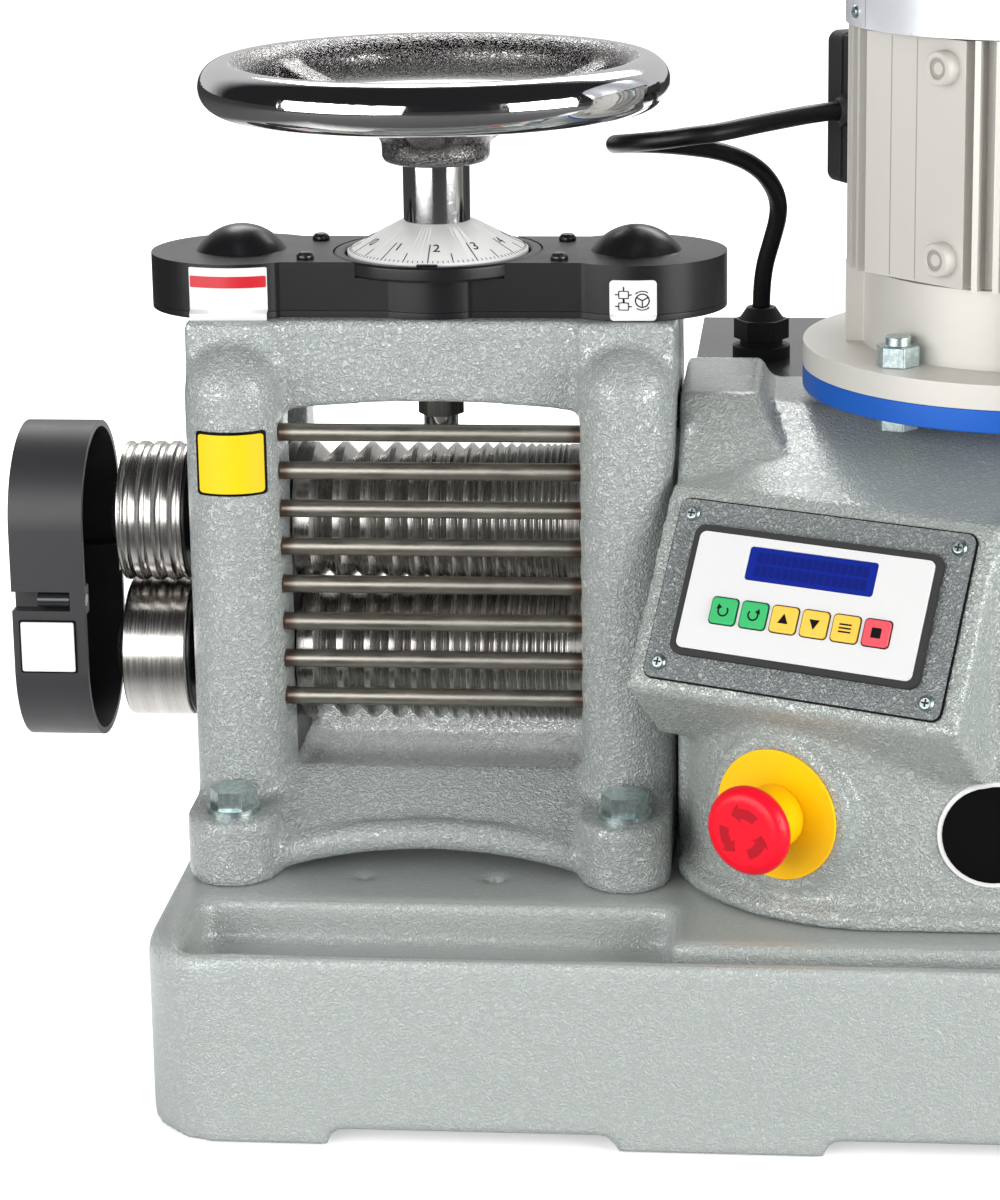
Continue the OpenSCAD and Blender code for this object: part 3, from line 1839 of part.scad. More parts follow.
// Cable swept along its route
function unit(v) = v / norm(v);
function heading(i) = unit(
  i == 0 ? cable_route[1] - cable_route[0] :
  i == len(cable_route) - 1 ? cable_route[i] - cable_route[i - 1] : cable_route[i + 1] - cable_route[i - 1]
);
cable_up = unit([0.3, 1, 0.35]);
cable_rings = [
  for (i = [0:len(cable_route) - 1])
    let (t = heading(i), u = unit(cross(t, cable_up)), v = cross(t, u))
      for (k = [0:cable_sides - 1])
        cable_route[i] + cable_d / 2 * (cos(360 * k / cable_sides) * u + sin(360 * k / cable_sides) * v)
];
cable_faces = [
  [for (k = [cable_sides - 1:-1:0]) k],
  for (i = [0:len(cable_route) - 2], k = [0:cable_sides - 1])
    let (a = i * cable_sides + k, b = i * cable_sides + (k + 1) % cable_sides)
      [a, b, b + cable_sides, a + cable_sides],
  [for (k = [0:cable_sides - 1]) (len(cable_route) - 1) * cable_sides + k]
];

module motor_cable() {
  color(black)
    polyhedron(cable_rings, [for (f = cable_faces) [for (i = [len(f) - 1:-1:0]) f[i]]]);
}

base_casting();
mill_frame();
frame_bolts();
guard_rods();
lower_blocks();
spindle_nuts();
gear_plate();
gear_cover();
cover_screws();
dial_bezel();
drive_housing();
panel_plate();
panel_screws();
keypad_bezel();
keypad_face();
estop_plate();
estop_collar();
gearbox_case();
motor_flange();
flange_bolts();
motor_body();
tie_rods();
fan_cowl();
terminal_box();
cable_glands();
electrics_box();
electrics_cover();
motor_cable();
handwheel();
handwheel_shaft();
dial();
centre_gear();
pivot_nut();
idler_left();
idler_right();
upper_blocks();
spindle_left();
spindle_right();
upper_roll();
upper_side_roll();
upper_side_cap();
upper_collar();
upper_roll_gear();
lower_roll();
lower_side_roll();
lower_side_cap();
lower_collar();
lower_roll_gear();
motor_rotor();
cooling_fan();
estop_stem();
estop_button();
key_forward();
key_reverse();
key_up();
key_down();
key_mode();
key_stop();
side_guard();
guard_screws();
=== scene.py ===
"""Looks of a motor driven bench wire rolling mill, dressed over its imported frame.

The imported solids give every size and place, in metres: X runs right along the rolls, Y to the back, Z up,
and the origin is the middle of the base on the bench. Castings get softened copies, machined pieces get
broken edges, and prints, plates, sockets and the cable are built here.
"""

import json
import logging
import math
from collections.abc import Iterable, Sequence
from dataclasses import dataclass
from enum import Enum
from functools import cache
from typing import NamedTuple

import bmesh
import bpy
from mathutils import Matrix, Vector
from mathutils.bvhtree import BVHTree

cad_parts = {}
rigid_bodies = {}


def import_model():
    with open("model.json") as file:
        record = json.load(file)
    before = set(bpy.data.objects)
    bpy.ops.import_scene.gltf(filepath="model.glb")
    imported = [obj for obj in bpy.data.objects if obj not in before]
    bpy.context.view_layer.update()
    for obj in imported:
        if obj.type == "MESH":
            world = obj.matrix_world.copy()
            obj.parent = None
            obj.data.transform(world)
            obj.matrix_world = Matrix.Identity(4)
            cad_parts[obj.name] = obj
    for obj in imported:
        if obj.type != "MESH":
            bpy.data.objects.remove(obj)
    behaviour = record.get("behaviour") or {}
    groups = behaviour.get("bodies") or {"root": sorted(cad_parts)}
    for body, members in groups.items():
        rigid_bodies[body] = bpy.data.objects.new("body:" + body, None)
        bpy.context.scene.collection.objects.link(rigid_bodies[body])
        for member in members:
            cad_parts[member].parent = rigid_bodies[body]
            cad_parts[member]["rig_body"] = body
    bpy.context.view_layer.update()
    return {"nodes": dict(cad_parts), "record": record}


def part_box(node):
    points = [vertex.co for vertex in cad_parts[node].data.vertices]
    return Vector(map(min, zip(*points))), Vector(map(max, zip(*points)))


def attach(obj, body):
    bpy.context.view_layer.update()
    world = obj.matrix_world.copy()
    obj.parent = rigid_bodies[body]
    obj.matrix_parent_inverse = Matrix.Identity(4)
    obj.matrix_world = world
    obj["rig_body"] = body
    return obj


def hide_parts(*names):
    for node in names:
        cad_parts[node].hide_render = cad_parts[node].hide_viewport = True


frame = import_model()
SLOTS = {part["node"]: part["material_slot"] for part in frame["record"]["subparts"]}
LOG = logging.getLogger("wire_mill")
MM = 0.001

Rgba = tuple[float, float, float, float]
Pair = tuple[float, float]
Triple = tuple[float, float, float]
Profile = Sequence[Pair]
Socket = bpy.types.NodeSocket
Solid = bmesh.types.BMesh


def srgb(red: int, green: int, blue: int) -> Rgba:
    """Turns a colour as seen on a screen into the linear colour of a shader.

    Args:
        red: Red from 0 to 255.
        green: Green from 0 to 255.
        blue: Blue from 0 to 255.

    Returns:
        Linear red, green and blue, and an alpha of 1.
    """
    def linear(level: int) -> float:
        """Gives one channel's linear level."""
        share = level / 255
        return share / 12.92 if share <= 0.04045 else ((share + 0.055) / 1.055) ** 2.4

    return (linear(red), linear(green), linear(blue), 1.0)


# Shaders


class Graph:
    """A node tree with short calls to add nodes and join their sockets."""

    def __init__(self, tree: bpy.types.NodeTree) -> None:
        """Keeps the tree that the calls work on."""
        self.tree = tree

    def add(self, kind: str, values: dict | None = None, **settings: object) -> bpy.types.Node:
        """Adds a node.

        Args:
            kind: The node's type name.
            values: Input name or number to a value, or to a socket to join.
            **settings: The node's own settings.

        Returns:
            The new node.
        """
        node = self.tree.nodes.new(kind)
        for name, setting in settings.items():
            setattr(node, name, setting)
        for name, value in (values or {}).items():
            if isinstance(value, bpy.types.NodeSocket):
                self.tree.links.new(value, node.inputs[name])
            else:
                node.inputs[name].default_value = value
        return node

    def link(self, socket: Socket, node: bpy.types.Node, name: str) -> None:
        """Joins a socket to a node's named input."""
        self.tree.links.new(socket, node.inputs[name])

    def math(self, operation: str, first: object, second: object = 0.0) -> Socket:
        """Adds a sum of two values and returns its output."""
        return self.add("ShaderNodeMath", {0: first, 1: second}, operation=operation).outputs[0]

    def weighted(self, *terms: tuple[Socket, float]) -> Socket:
        """Adds up values times their weights.

        Args:
            *terms: Each value with its weight.

        Returns:
            The sum's output.
        """
        total, *others = [self.math("MULTIPLY", value, weight) for value, weight in terms]
        for other in others:
            total = self.math("ADD", total, other)
        return total

    def ramp(self, value: object, low: float, high: float, to_low: float = 0.0,
             to_high: float = 1.0) -> Socket:
        """Adds a smooth, clamped change of range and returns its output."""
        spread = {"Value": value, "From Min": low, "From Max": high, "To Min": to_low, "To Max": to_high}
        return self.add("ShaderNodeMapRange", spread, interpolation_type="SMOOTHSTEP").outputs[0]

    def mix(self, share: object, first: object, second: object) -> Socket:
        """Adds a mix of two colours and returns its output."""
        return self.add("ShaderNodeMix", {0: share, 6: first, 7: second}, data_type="RGBA").outputs[2]

    def noise(self, vector: Socket, scale: Socket, detail: float, rough: float = 0.5) -> Socket:
        """Adds a noise and returns its value."""
        settings = {"Vector": vector, "Scale": scale, "Detail": detail, "Roughness": rough}
        return self.add("ShaderNodeTexNoise", settings).outputs[0]

    def axes(self, vector: Socket) -> bpy.types.NodeOutputs:
        """Splits a vector and returns its X, Y and Z by name."""
        return self.add("ShaderNodeSeparateXYZ", {0: vector}).outputs


class ShaderGroup:
    """Effects that several finishes share, each built once as a node group."""

    @staticmethod
    def shell(name: str, scale: float, *outputs: str) -> tuple[Graph, bpy.types.NodeOutputs, bpy.types.Node]:
        """Makes an empty group with a Vector input, a Scale input and its outputs.

        Args:
            name: The group's name.
            scale: Scale where none is given.
            *outputs: Names of the value outputs.

        Returns:
            The group's graph, its inputs by name, and its output node.
        """
        tree = bpy.data.node_groups.new(name, "ShaderNodeTree")
        tree.interface.new_socket("Vector", in_out="INPUT", socket_type="NodeSocketVector")
        size = tree.interface.new_socket("Scale", in_out="INPUT", socket_type="NodeSocketFloat")
        size.default_value = scale
        for label in outputs:
            tree.interface.new_socket(label, in_out="OUTPUT", socket_type="NodeSocketFloat")
        graph = Graph(tree)
        return graph, graph.add("NodeGroupInput").outputs, graph.add("NodeGroupOutput")

    @staticmethod
    @cache
    def hammer_grain() -> bpy.types.NodeTree:
        """Builds short raised worms of enamel over a finer pitting.

        Returns:
            A group that gives a height and a mask of the raised ridges, which the hammered recipe paints
            lighter as a painted highlight.
        """
        graph, given, out = ShaderGroup.shell("hammer_grain", 420.0, "Height", "Ridge")
        vector, scale = given["Vector"], given["Scale"]
        bent = graph.add("ShaderNodeTexNoise", {
            "Vector": vector, "Scale": scale, "Detail": 1.0, "Distortion": 1.4}).outputs[0]
        cells = graph.add("ShaderNodeTexVoronoi", {
            "Vector": vector, "Scale": graph.math("MULTIPLY", scale, 1.25), "Smoothness": 0.6,
        }, feature="SMOOTH_F1").outputs[0]
        pits = graph.noise(vector, graph.math("MULTIPLY", scale, 3.1), 1.0)
        worm = graph.ramp(bent, 0.36, 0.66)
        domes = graph.math("SUBTRACT", 1.0, cells)
        graph.link(graph.weighted((worm, 0.62), (domes, 0.28), (pits, 0.1)), out, "Height")
        graph.link(graph.ramp(bent, 0.5, 0.68), out, "Ridge")
        return graph.tree

    @staticmethod
    @cache
    def orange_peel() -> bpy.types.NodeTree:
        """Builds the slow ripple of smooth enamel and moulded skins.

        Returns:
            A group that gives a height.
        """
        graph, given, out = ShaderGroup.shell("orange_peel", 300.0, "Height")
        broad = graph.noise(given["Vector"], given["Scale"], 2.0)
        fine = graph.noise(given["Vector"], graph.math("MULTIPLY", given["Scale"], 4.0), 1.0)
        graph.link(graph.weighted((broad, 0.7), (fine, 0.3)), out, "Height")
        return graph.tree

    @staticmethod
    @cache
    def handling() -> bpy.types.NodeTree:
        """Builds broad clouds of handling and fine dust.

        Returns:
            A group that gives both masks.
        """
        graph, given, out = ShaderGroup.shell("handling", 14.0, "Cloud", "Dust")
        cloud = graph.noise(given["Vector"], given["Scale"], 5.0, 0.62)
        dust = graph.noise(given["Vector"], graph.math("MULTIPLY", given["Scale"], 60.0), 2.0)
        graph.link(graph.ramp(cloud, 0.3, 0.72), out, "Cloud")
        graph.link(graph.ramp(dust, 0.56, 0.74), out, "Dust")
        return graph.tree

    @staticmethod
    @cache
    def turning() -> bpy.types.NodeTree:
        """Builds the fine tool lines of a turned or ground surface, for a vector stretched along its axis.

        Returns:
            A group that gives a height and a tone.
        """
        graph, given, out = ShaderGroup.shell("turning", 900.0, "Height", "Tone")
        lines = graph.noise(given["Vector"], given["Scale"], 3.0, 0.7)
        bands = graph.noise(given["Vector"], graph.math("MULTIPLY", given["Scale"], 0.12), 2.0)
        graph.link(lines, out, "Height")
        graph.link(graph.weighted((lines, 0.5), (bands, 0.5)), out, "Tone")
        return graph.tree


class Surface(Enum):
    """Families of surface that a finish can belong to."""

    HAMMERED = "hammered enamel on iron"
    ENAMEL = "smooth enamel or moulded skin"
    MACHINED = "turned or ground metal"
    CAST = "rough cast or etched metal"
    WHEEL = "plated wheel, polished outside and rough cast inside"
    ROD = "drawn rod with stained ends"


class Skin(NamedTuple):
    """What a recipe hands to the shader: the colour, the roughness and the height of the grain."""

    colour: Socket
    rough: Socket
    height: Socket


class Ground(NamedTuple):
    """What every recipe starts from.

    Attributes:
        graph: The material's graph.
        place: The texture coordinates by name.
        vector: Where the grain is read.
        cloud: Mask of handling.
        dust: Mask of dust.
    """

    graph: Graph
    place: bpy.types.NodeOutputs
    vector: Socket
    cloud: Socket
    dust: Socket


MILL = Vector((-0.160, -0.017, 0.0))
MOTOR = Vector((0.105, -0.017, 0.0))
WHEEL_POLISH = 0.0915
POLISH_EDGE = 0.0008
ROD_STAIN = (0.0605, 0.066)
STAIN = srgb(96, 64, 44)
COAT_ROUGH = 0.18
EVEN = (1.0, 1.0, 1.0)
ALONG_X = (1.0, 0.02, 0.02)
ALONG_Z = (0.02, 0.02, 1.0)


@dataclass(frozen=True)
class Finish:
    """One surface finish and the recipe of its material.

    Attributes:
        name: The material's name.
        colour: Linear base colour.
        shade: Linear colour of the clouds, tool lines and cast mottle; of the hammered grain's hollows, as
            painted shade; of upward hammered faces, as a painted dark reflection; and within the wheel's rim,
            partly as a painted dark reflection.
        rough: Roughness.
        scale: Grain size, as cells for each metre.
        relief: Height of the grain in metres.
        metal: Metallic share.
        coat: Clear coat weight.
        surface: Family of surface.
        stretch: Scaling of the grain along X, Y and Z.
        level_rough_and_shade: Roughness of upward faces, where they are smoother; any other value than 0 also
            paints them darker towards the shade, as a painted dark reflection; 0 leaves them as they are.
        specular: Specular level of the shader; 0.5 is a usual enamel.
    """

    name: str
    colour: Rgba
    shade: Rgba
    rough: float
    scale: float
    relief: float
    metal: float = 0.0
    coat: float = 0.0
    surface: Surface = Surface.ENAMEL
    stretch: Triple = EVEN
    level_rough_and_shade: float = 0.0
    specular: float = 0.5

    def material(self) -> bpy.types.Material:
        """Builds the material, or gives the one already built."""
        found = bpy.data.materials.get(self.name)
        return found if found else self.build()

    def build(self) -> bpy.types.Material:
        """Builds the material from the groups of its surface family.

        Returns:
            The new material.
        """
        material = bpy.data.materials.new(self.name)
        material.use_nodes = True
        material.node_tree.nodes.clear()
        graph = Graph(material.node_tree)
        place = graph.add("ShaderNodeTexCoord").outputs
        vector = place["Object"]
        if self.stretch != EVEN:
            vector = graph.add("ShaderNodeMapping", {"Vector": vector, "Scale": self.stretch}).outputs[0]
        marks = graph.add("ShaderNodeGroup", {"Vector": place["Object"]},
                          node_tree=ShaderGroup.handling()).outputs
        recipe = {Surface.HAMMERED: self.hammered, Surface.ENAMEL: self.enamel, Surface.CAST: self.enamel,
                  Surface.MACHINED: self.machined, Surface.WHEEL: self.wheel, Surface.ROD: self.rod}
        skin = recipe[self.surface](Ground(graph, place, vector, marks["Cloud"], marks["Dust"]))
        bump = graph.add("ShaderNodeBump", {"Strength": 1.0, "Distance": self.relief, "Height": skin.height})
        shader = graph.add("ShaderNodeBsdfPrincipled", {
            "Metallic": self.metal, "Coat Weight": self.coat, "Coat Roughness": COAT_ROUGH,
            "Specular IOR Level": self.specular, "Base Color": skin.colour, "Roughness": skin.rough,
            "Normal": bump.outputs[0]})
        graph.add("ShaderNodeOutputMaterial", {"Surface": shader.outputs[0]})
        return material

    def group(self, ground: Ground, tree: bpy.types.NodeTree) -> bpy.types.NodeOutputs:
        """Places a shared group with this finish's scale and gives its outputs."""
        values = {"Vector": ground.vector, "Scale": self.scale}
        return ground.graph.add("ShaderNodeGroup", values, node_tree=tree).outputs

    def hammered(self, ground: Ground) -> Skin:
        """Hammered enamel: ridges painted lighter and hollows darker as painted highlight and shade, wet
        gloss, and raised grain that flattens on level faces, which may also be painted darker as a painted
        dark reflection.

        Args:
            ground: What the recipe starts from.

        Returns:
            The skin.
        """
        graph = ground.graph
        grain = self.group(ground, ShaderGroup.hammer_grain())
        # Painted highlight and shade: the grain's ridges take the lighter colour and its hollows the darker
        # shade.
        tone = graph.mix(grain["Ridge"], self.shade, self.colour)
        colour = graph.mix(graph.math("MULTIPLY", ground.cloud, 0.1), tone, self.shade)
        rough = graph.ramp(ground.cloud, 0.0, 1.0, self.rough - 0.04, self.rough + 0.06)
        height = grain["Height"]
        if self.level_rough_and_shade:
            level = graph.ramp(graph.axes(ground.place["Normal"])["Z"], 0.8, 0.98)
            height = graph.math("MULTIPLY", height, graph.ramp(level, 0.0, 1.0, 1.0, 0.3))
            gloss = graph.ramp(level, 0.0, 1.0, 0.0, self.level_rough_and_shade - self.rough)
            rough = graph.math("ADD", rough, gloss)
            # Painted dark reflection: upward faces are darkened towards the shade colour.
            colour = graph.mix(graph.math("MULTIPLY", level, 0.45), colour, self.shade)
        return Skin(colour, rough, height)

    def enamel(self, ground: Ground) -> Skin:
        """Smooth enamel, plastic or cast skin: slow clouds, a little dust and a fine ripple.

        Args:
            ground: What the recipe starts from.

        Returns:
            The skin.
        """
        graph = ground.graph
        ripple = self.group(ground, ShaderGroup.orange_peel())["Height"]
        if self.surface is Surface.CAST:
            colour = graph.mix(graph.ramp(ripple, 0.42, 0.58), self.shade, self.colour)
        else:
            colour = graph.mix(graph.math("MULTIPLY", ground.cloud, 0.5), self.colour, self.shade)
        clouded = graph.ramp(ground.cloud, 0.0, 1.0, self.rough - 0.03, self.rough + 0.05)
        rough = graph.math("ADD", clouded, graph.math("MULTIPLY", ground.dust, 0.06))
        return Skin(colour, rough, ripple)

    def machined(self, ground: Ground) -> Skin:
        """Turned or ground metal: tool lines in colour, roughness and height.

        Args:
            ground: What the recipe starts from, with its vector stretched along the piece's axis.

        Returns:
            The skin.
        """
        graph = ground.graph
        lines = self.group(ground, ShaderGroup.turning())
        colour = graph.mix(graph.ramp(lines["Tone"], 0.3, 0.7), self.shade, self.colour)
        cut = graph.ramp(lines["Height"], 0.3, 0.7, self.rough - 0.05, self.rough + 0.06)
        rough = graph.math("ADD", cut, graph.math("MULTIPLY", ground.cloud, 0.06))
        return Skin(colour, rough, lines["Height"])

    def wheel(self, ground: Ground) -> Skin:
        """Plated wheel: a mirror on the outside of the rim, sparkling rough casting within it, darker partly
        as its own colour and partly as a painted dark reflection.

        Args:
            ground: What the recipe starts from.

        Returns:
            The skin.
        """
        graph = ground.graph
        grain = self.group(ground, ShaderGroup.hammer_grain())
        spot = graph.axes(ground.place["Object"])
        across = [graph.math("POWER", graph.math("SUBTRACT", spot[axis], middle), 2.0)
                  for axis, middle in (("X", MILL.x), ("Y", MILL.y))]
        radius = graph.math("SQRT", graph.math("ADD", *across))
        mirror = graph.ramp(radius, WHEEL_POLISH, WHEEL_POLISH + POLISH_EDGE)
        within = graph.math("SUBTRACT", 1.0, mirror)
        # Within the rim the shade colour: the casting's own colour, darkened further as a painted dark
        # reflection.
        colour = graph.mix(mirror, self.shade, self.colour)
        cast = graph.ramp(grain["Ridge"], 0.0, 1.0, self.rough + 0.16, self.rough + 0.06)
        worn = graph.math("ADD", self.rough, graph.math("MULTIPLY", ground.cloud, 0.03))
        rough = graph.math("ADD", graph.math("MULTIPLY", mirror, worn), graph.math("MULTIPLY", within, cast))
        return Skin(colour, rough, graph.math("MULTIPLY", grain["Height"], within))

    def rod(self, ground: Ground) -> Skin:
        """Drawn rod: streaks along its length and a brown tinge where it enters the columns.

        Args:
            ground: What the recipe starts from.

        Returns:
            The skin.
        """
        graph = ground.graph
        skin = self.machined(ground)
        along = graph.axes(ground.place["Object"])["X"]
        reach = graph.math("ABSOLUTE", graph.math("SUBTRACT", along, MILL.x))
        ends = graph.math("MULTIPLY", graph.ramp(reach, *ROD_STAIN), 0.7)
        return skin._replace(colour=graph.mix(ends, skin.colour, STAIN))


# The hammered finishes paint their grain's ridges lighter and hollows darker, as painted highlight and shade;
# those with a level roughness also paint upward faces darker, as a painted dark reflection.
GREY_HAMMER = Finish("grey_hammered_enamel", srgb(182, 187, 185), srgb(159, 165, 163), 0.26, 520.0, 0.0008,
                     0.25, 0.2, Surface.HAMMERED)
HOUSING_HAMMER = Finish("housing_hammered_enamel", srgb(183, 188, 184), srgb(161, 167, 163), 0.26, 520.0,
                        0.0008, 0.25, 0.2, Surface.HAMMERED, level_rough_and_shade=0.22)
BASE_HAMMER = Finish("base_hammered_enamel", srgb(182, 187, 184), srgb(169, 175, 172), 0.32, 620.0, 0.0004,
                     0.25, 0.1, Surface.HAMMERED, level_rough_and_shade=0.16)
PANEL_HAMMER = Finish("panel_hammered_enamel", srgb(150, 154, 153), srgb(120, 125, 125), 0.27, 560.0, 0.0008,
                      0.25, 0.15, Surface.HAMMERED)
BLACK_SATIN = Finish("satin_black_enamel", srgb(22, 22, 24), srgb(15, 15, 16), 0.32, 900.0, 0.00003,
                     specular=0.4)
GUARD_SATIN = Finish("satin_guard_plastic", srgb(46, 46, 49), srgb(36, 36, 38), 0.42, 1400.0, 0.00004,
                     specular=0.6)
BLACK_GLOSS = Finish("gloss_black_enamel", srgb(34, 35, 38), srgb(26, 27, 30), 0.2, 500.0, 0.00003, coat=0.3)
BLACK_PLASTIC = Finish("black_plastic", srgb(13, 13, 14), srgb(8, 8, 9), 0.3, 1400.0, 0.00002, specular=0.3)
CABLE_SHEATH = Finish("cable_sheath", srgb(13, 13, 14), srgb(9, 9, 10), 0.36, 1600.0, 0.00003)
BLUE_ENAMEL = Finish("blue_enamel", srgb(0, 76, 176), srgb(0, 58, 146), 0.24, 260.0, 0.00012, coat=0.4)
SILVER_CAST = Finish("silver_enamel", srgb(216, 213, 206), srgb(192, 189, 182), 0.36, 1100.0, 0.00005, 0.65)
SILVER_SHEET = Finish("silver_sheet", srgb(218, 220, 224), srgb(198, 201, 207), 0.3, 300.0, 0.00002, 0.35,
                      0.1)
ROLL_STEEL = Finish("roll_steel", srgb(204, 201, 197), srgb(178, 174, 170), 0.22, 1500.0, 0.000006, 1.0,
                    surface=Surface.MACHINED, stretch=ALONG_X)
ROD_STEEL = Finish("rod_steel", srgb(182, 178, 168), srgb(154, 149, 139), 0.36, 260.0, 0.000006, 1.0,
                   surface=Surface.ROD, stretch=(0.25, 1.0, 1.0))
BLOCK_STEEL = Finish("block_steel", srgb(120, 118, 114), srgb(78, 76, 73), 0.4, 700.0, 0.00002, 1.0,
                     surface=Surface.MACHINED, stretch=(1.0, 1.0, 0.05))
ZINC = Finish("zinc_plate", srgb(206, 214, 213), srgb(168, 192, 193), 0.34, 500.0, 0.00003, 1.0,
              surface=Surface.CAST)
CHROME = Finish("chrome_plate", srgb(222, 222, 222), srgb(206, 206, 208), 0.07, 90.0, 0.00001, 1.0)
# Its shade, the colour within the rim, is darkened as a painted dark reflection.
WHEEL_PLATE = Finish("wheel_plate", srgb(226, 226, 228), srgb(138, 136, 135), 0.05, 700.0, 0.0004, 1.0,
                     surface=Surface.WHEEL)
BRONZE = Finish("bronze", srgb(176, 134, 78), srgb(128, 92, 48), 0.3, 1200.0, 0.00001, 1.0,
                surface=Surface.MACHINED, stretch=ALONG_Z)
DIAL_WHITE = Finish("dial_white", srgb(232, 232, 230), srgb(224, 224, 222), 0.4, 900.0, 0.00001)
PRINT_BLACK = Finish("print_black", srgb(8, 8, 9), srgb(12, 12, 13), 0.42, 2400.0, 0.00001, specular=0.1)
PLATE_WHITE = Finish("plate_white", srgb(207, 207, 206), srgb(199, 200, 201), 0.34, 1200.0, 0.00001,
                     specular=0.3)
PLATE_RED = Finish("plate_red", srgb(184, 24, 38), srgb(172, 20, 34), 0.32, 1200.0, 0.00001, coat=0.2)
PLATE_YELLOW = Finish("plate_yellow", srgb(216, 186, 2), srgb(208, 176, 2), 0.36, 1200.0, 0.00001,
                      specular=0.3)
STOP_YELLOW = Finish("stop_yellow", srgb(244, 190, 0), srgb(232, 178, 0), 0.36, 1200.0, 0.00001, specular=0.3)
STOP_RED = Finish("stop_red", srgb(224, 6, 36), srgb(210, 4, 30), 0.36, 1500.0, 0.00002, specular=0.3)
STOP_MARK = Finish("stop_mark", srgb(172, 0, 24), srgb(160, 0, 20), 0.42, 1500.0, 0.00002, specular=0.3)
KEY_GREEN = Finish("key_green", srgb(34, 172, 96), srgb(26, 158, 84), 0.34, 2000.0, 0.00001)
KEY_AMBER = Finish("key_amber", srgb(240, 186, 62), srgb(234, 172, 48), 0.34, 2000.0, 0.00001)
KEY_RED = Finish("key_red", srgb(222, 70, 82), srgb(210, 56, 70), 0.34, 2000.0, 0.00001)
LCD_BLUE = Finish("display_blue", srgb(2, 30, 132), srgb(1, 24, 118), 0.5, 700.0, 0.000005, specular=0.1)
LCD_CELL = Finish("display_cell", srgb(2, 22, 108), srgb(1, 18, 98), 0.5, 900.0, 0.000005, specular=0.1)
# Grey of the seams, and the painted shade of the lugs' bore walls.
SEAM_AND_BORE_SHADE = Finish("seam_and_bore_shade_grey", srgb(164, 160, 152), srgb(146, 142, 135), 0.5, 900.0, 0.00002, 0.3)
# Painted shade of the panel screws' cross recesses.
SOCKET_SHADE = Finish("socket_shadow", srgb(58, 56, 54), srgb(34, 33, 32), 0.5, 1500.0, 0.00003, 0.6,
                     surface=Surface.CAST)


# Meshes


SMOOTH_BELOW = math.radians(34)
BREAK_ABOVE = math.radians(32)
FLAT_WITHIN = math.radians(0.5)
PRINT_DEPTH = 0.0001
FIGURE_SHARE = 0.73


def new_piece(name: str, mesh: bpy.types.Mesh, finish: Finish) -> bpy.types.Object:
    """Makes an object at the origin from a mesh and one finish.

    Args:
        name: The piece's name.
        mesh: Its mesh, already in place.
        finish: Its finish.

    Returns:
        The linked object.
    """
    piece = bpy.data.objects.new(name, mesh)
    wear(piece, finish)
    bpy.context.scene.collection.objects.link(piece)
    return piece


def wear(piece: bpy.types.Object, finish: Finish) -> None:
    """Gives a piece one finish and no other."""
    piece.data.materials.clear()
    piece.data.materials.append(finish.material())


def settle(piece: bpy.types.Object, body: str, slot: str, *nodes: str) -> bpy.types.Object:
    """Rides a piece on its body and hides the nodes that it stands for.

    Args:
        piece: The finished piece.
        body: Body that carries it.
        slot: The record's material slot; not used.
        *nodes: CAD nodes that it replaces.

    Returns:
        The same piece.
    """
    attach(piece, body)
    if nodes:
        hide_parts(*nodes)
    LOG.info("%s rides on %s", piece.name, body)
    return piece


def mesh_of(name: str, build: Solid) -> bpy.types.Mesh:
    """Turns a solid into a mesh with smooth faces and outward normals, and frees it.

    Args:
        name: The mesh's name.
        build: The closed solid.

    Returns:
        The mesh.
    """
    bmesh.ops.recalc_face_normals(build, faces=build.faces)
    mesh = bpy.data.meshes.new(name)
    build.to_mesh(mesh)
    build.free()
    mesh.shade_smooth()
    mesh.set_sharp_from_angle(angle=SMOOTH_BELOW)
    return mesh


def add_piece(name: str, build: Solid, place: Matrix, finish: Finish, body: str, slot: str) -> None:
    """Adds a solid as a piece of its own.

    Args:
        name: The piece's name.
        build: The closed solid.
        place: Where its origin sits in the machine.
        finish: Its finish.
        body: Body that carries it.
        slot: The record's material slot.
    """
    mesh = mesh_of(name, build)
    mesh.transform(place)
    settle(new_piece(name, mesh, finish), body, slot)


def evaluated(piece: bpy.types.Object) -> bpy.types.Mesh:
    """Gives a plain mesh of a piece with its modifiers applied, or of a text."""
    depsgraph = bpy.context.evaluated_depsgraph_get()
    depsgraph.update()
    return bpy.data.meshes.new_from_object(piece.evaluated_get(depsgraph))


def freeze(piece: bpy.types.Object) -> None:
    """Bakes a piece's modifiers into a plain mesh and removes them."""
    mesh = evaluated(piece)
    piece.modifiers.clear()
    piece.data = mesh


def solid_of(mesh: bpy.types.Mesh) -> Solid:
    """Copies a mesh into a solid."""
    build = bmesh.new()
    build.from_mesh(mesh)
    return build


def merged(node: str) -> Solid:
    """Copies a CAD node's mesh with its loose triangles joined.

    Args:
        node: The node's name.

    Returns:
        The closed solid.
    """
    build = solid_of(frame["nodes"][node].data)
    bmesh.ops.remove_doubles(build, verts=build.verts, dist=2e-6)
    bmesh.ops.dissolve_degenerate(build, edges=build.edges, dist=1e-6)
    return build


def walls(build: Solid, loops: Sequence[Sequence[bmesh.types.BMVert]]) -> None:
    """Joins loops of as many points, each to the next, with triangles where a loop is one point.

    Args:
        build: The solid that the loops belong to.
        loops: The loops in order.
    """
    for one, two in zip(loops, loops[1:]):
        for i in range(len(one)):
            after = (i + 1) % len(one)
            face = list(dict.fromkeys((one[i], one[after], two[after], two[i])))
            if len(face) > 2:
                build.faces.new(face)


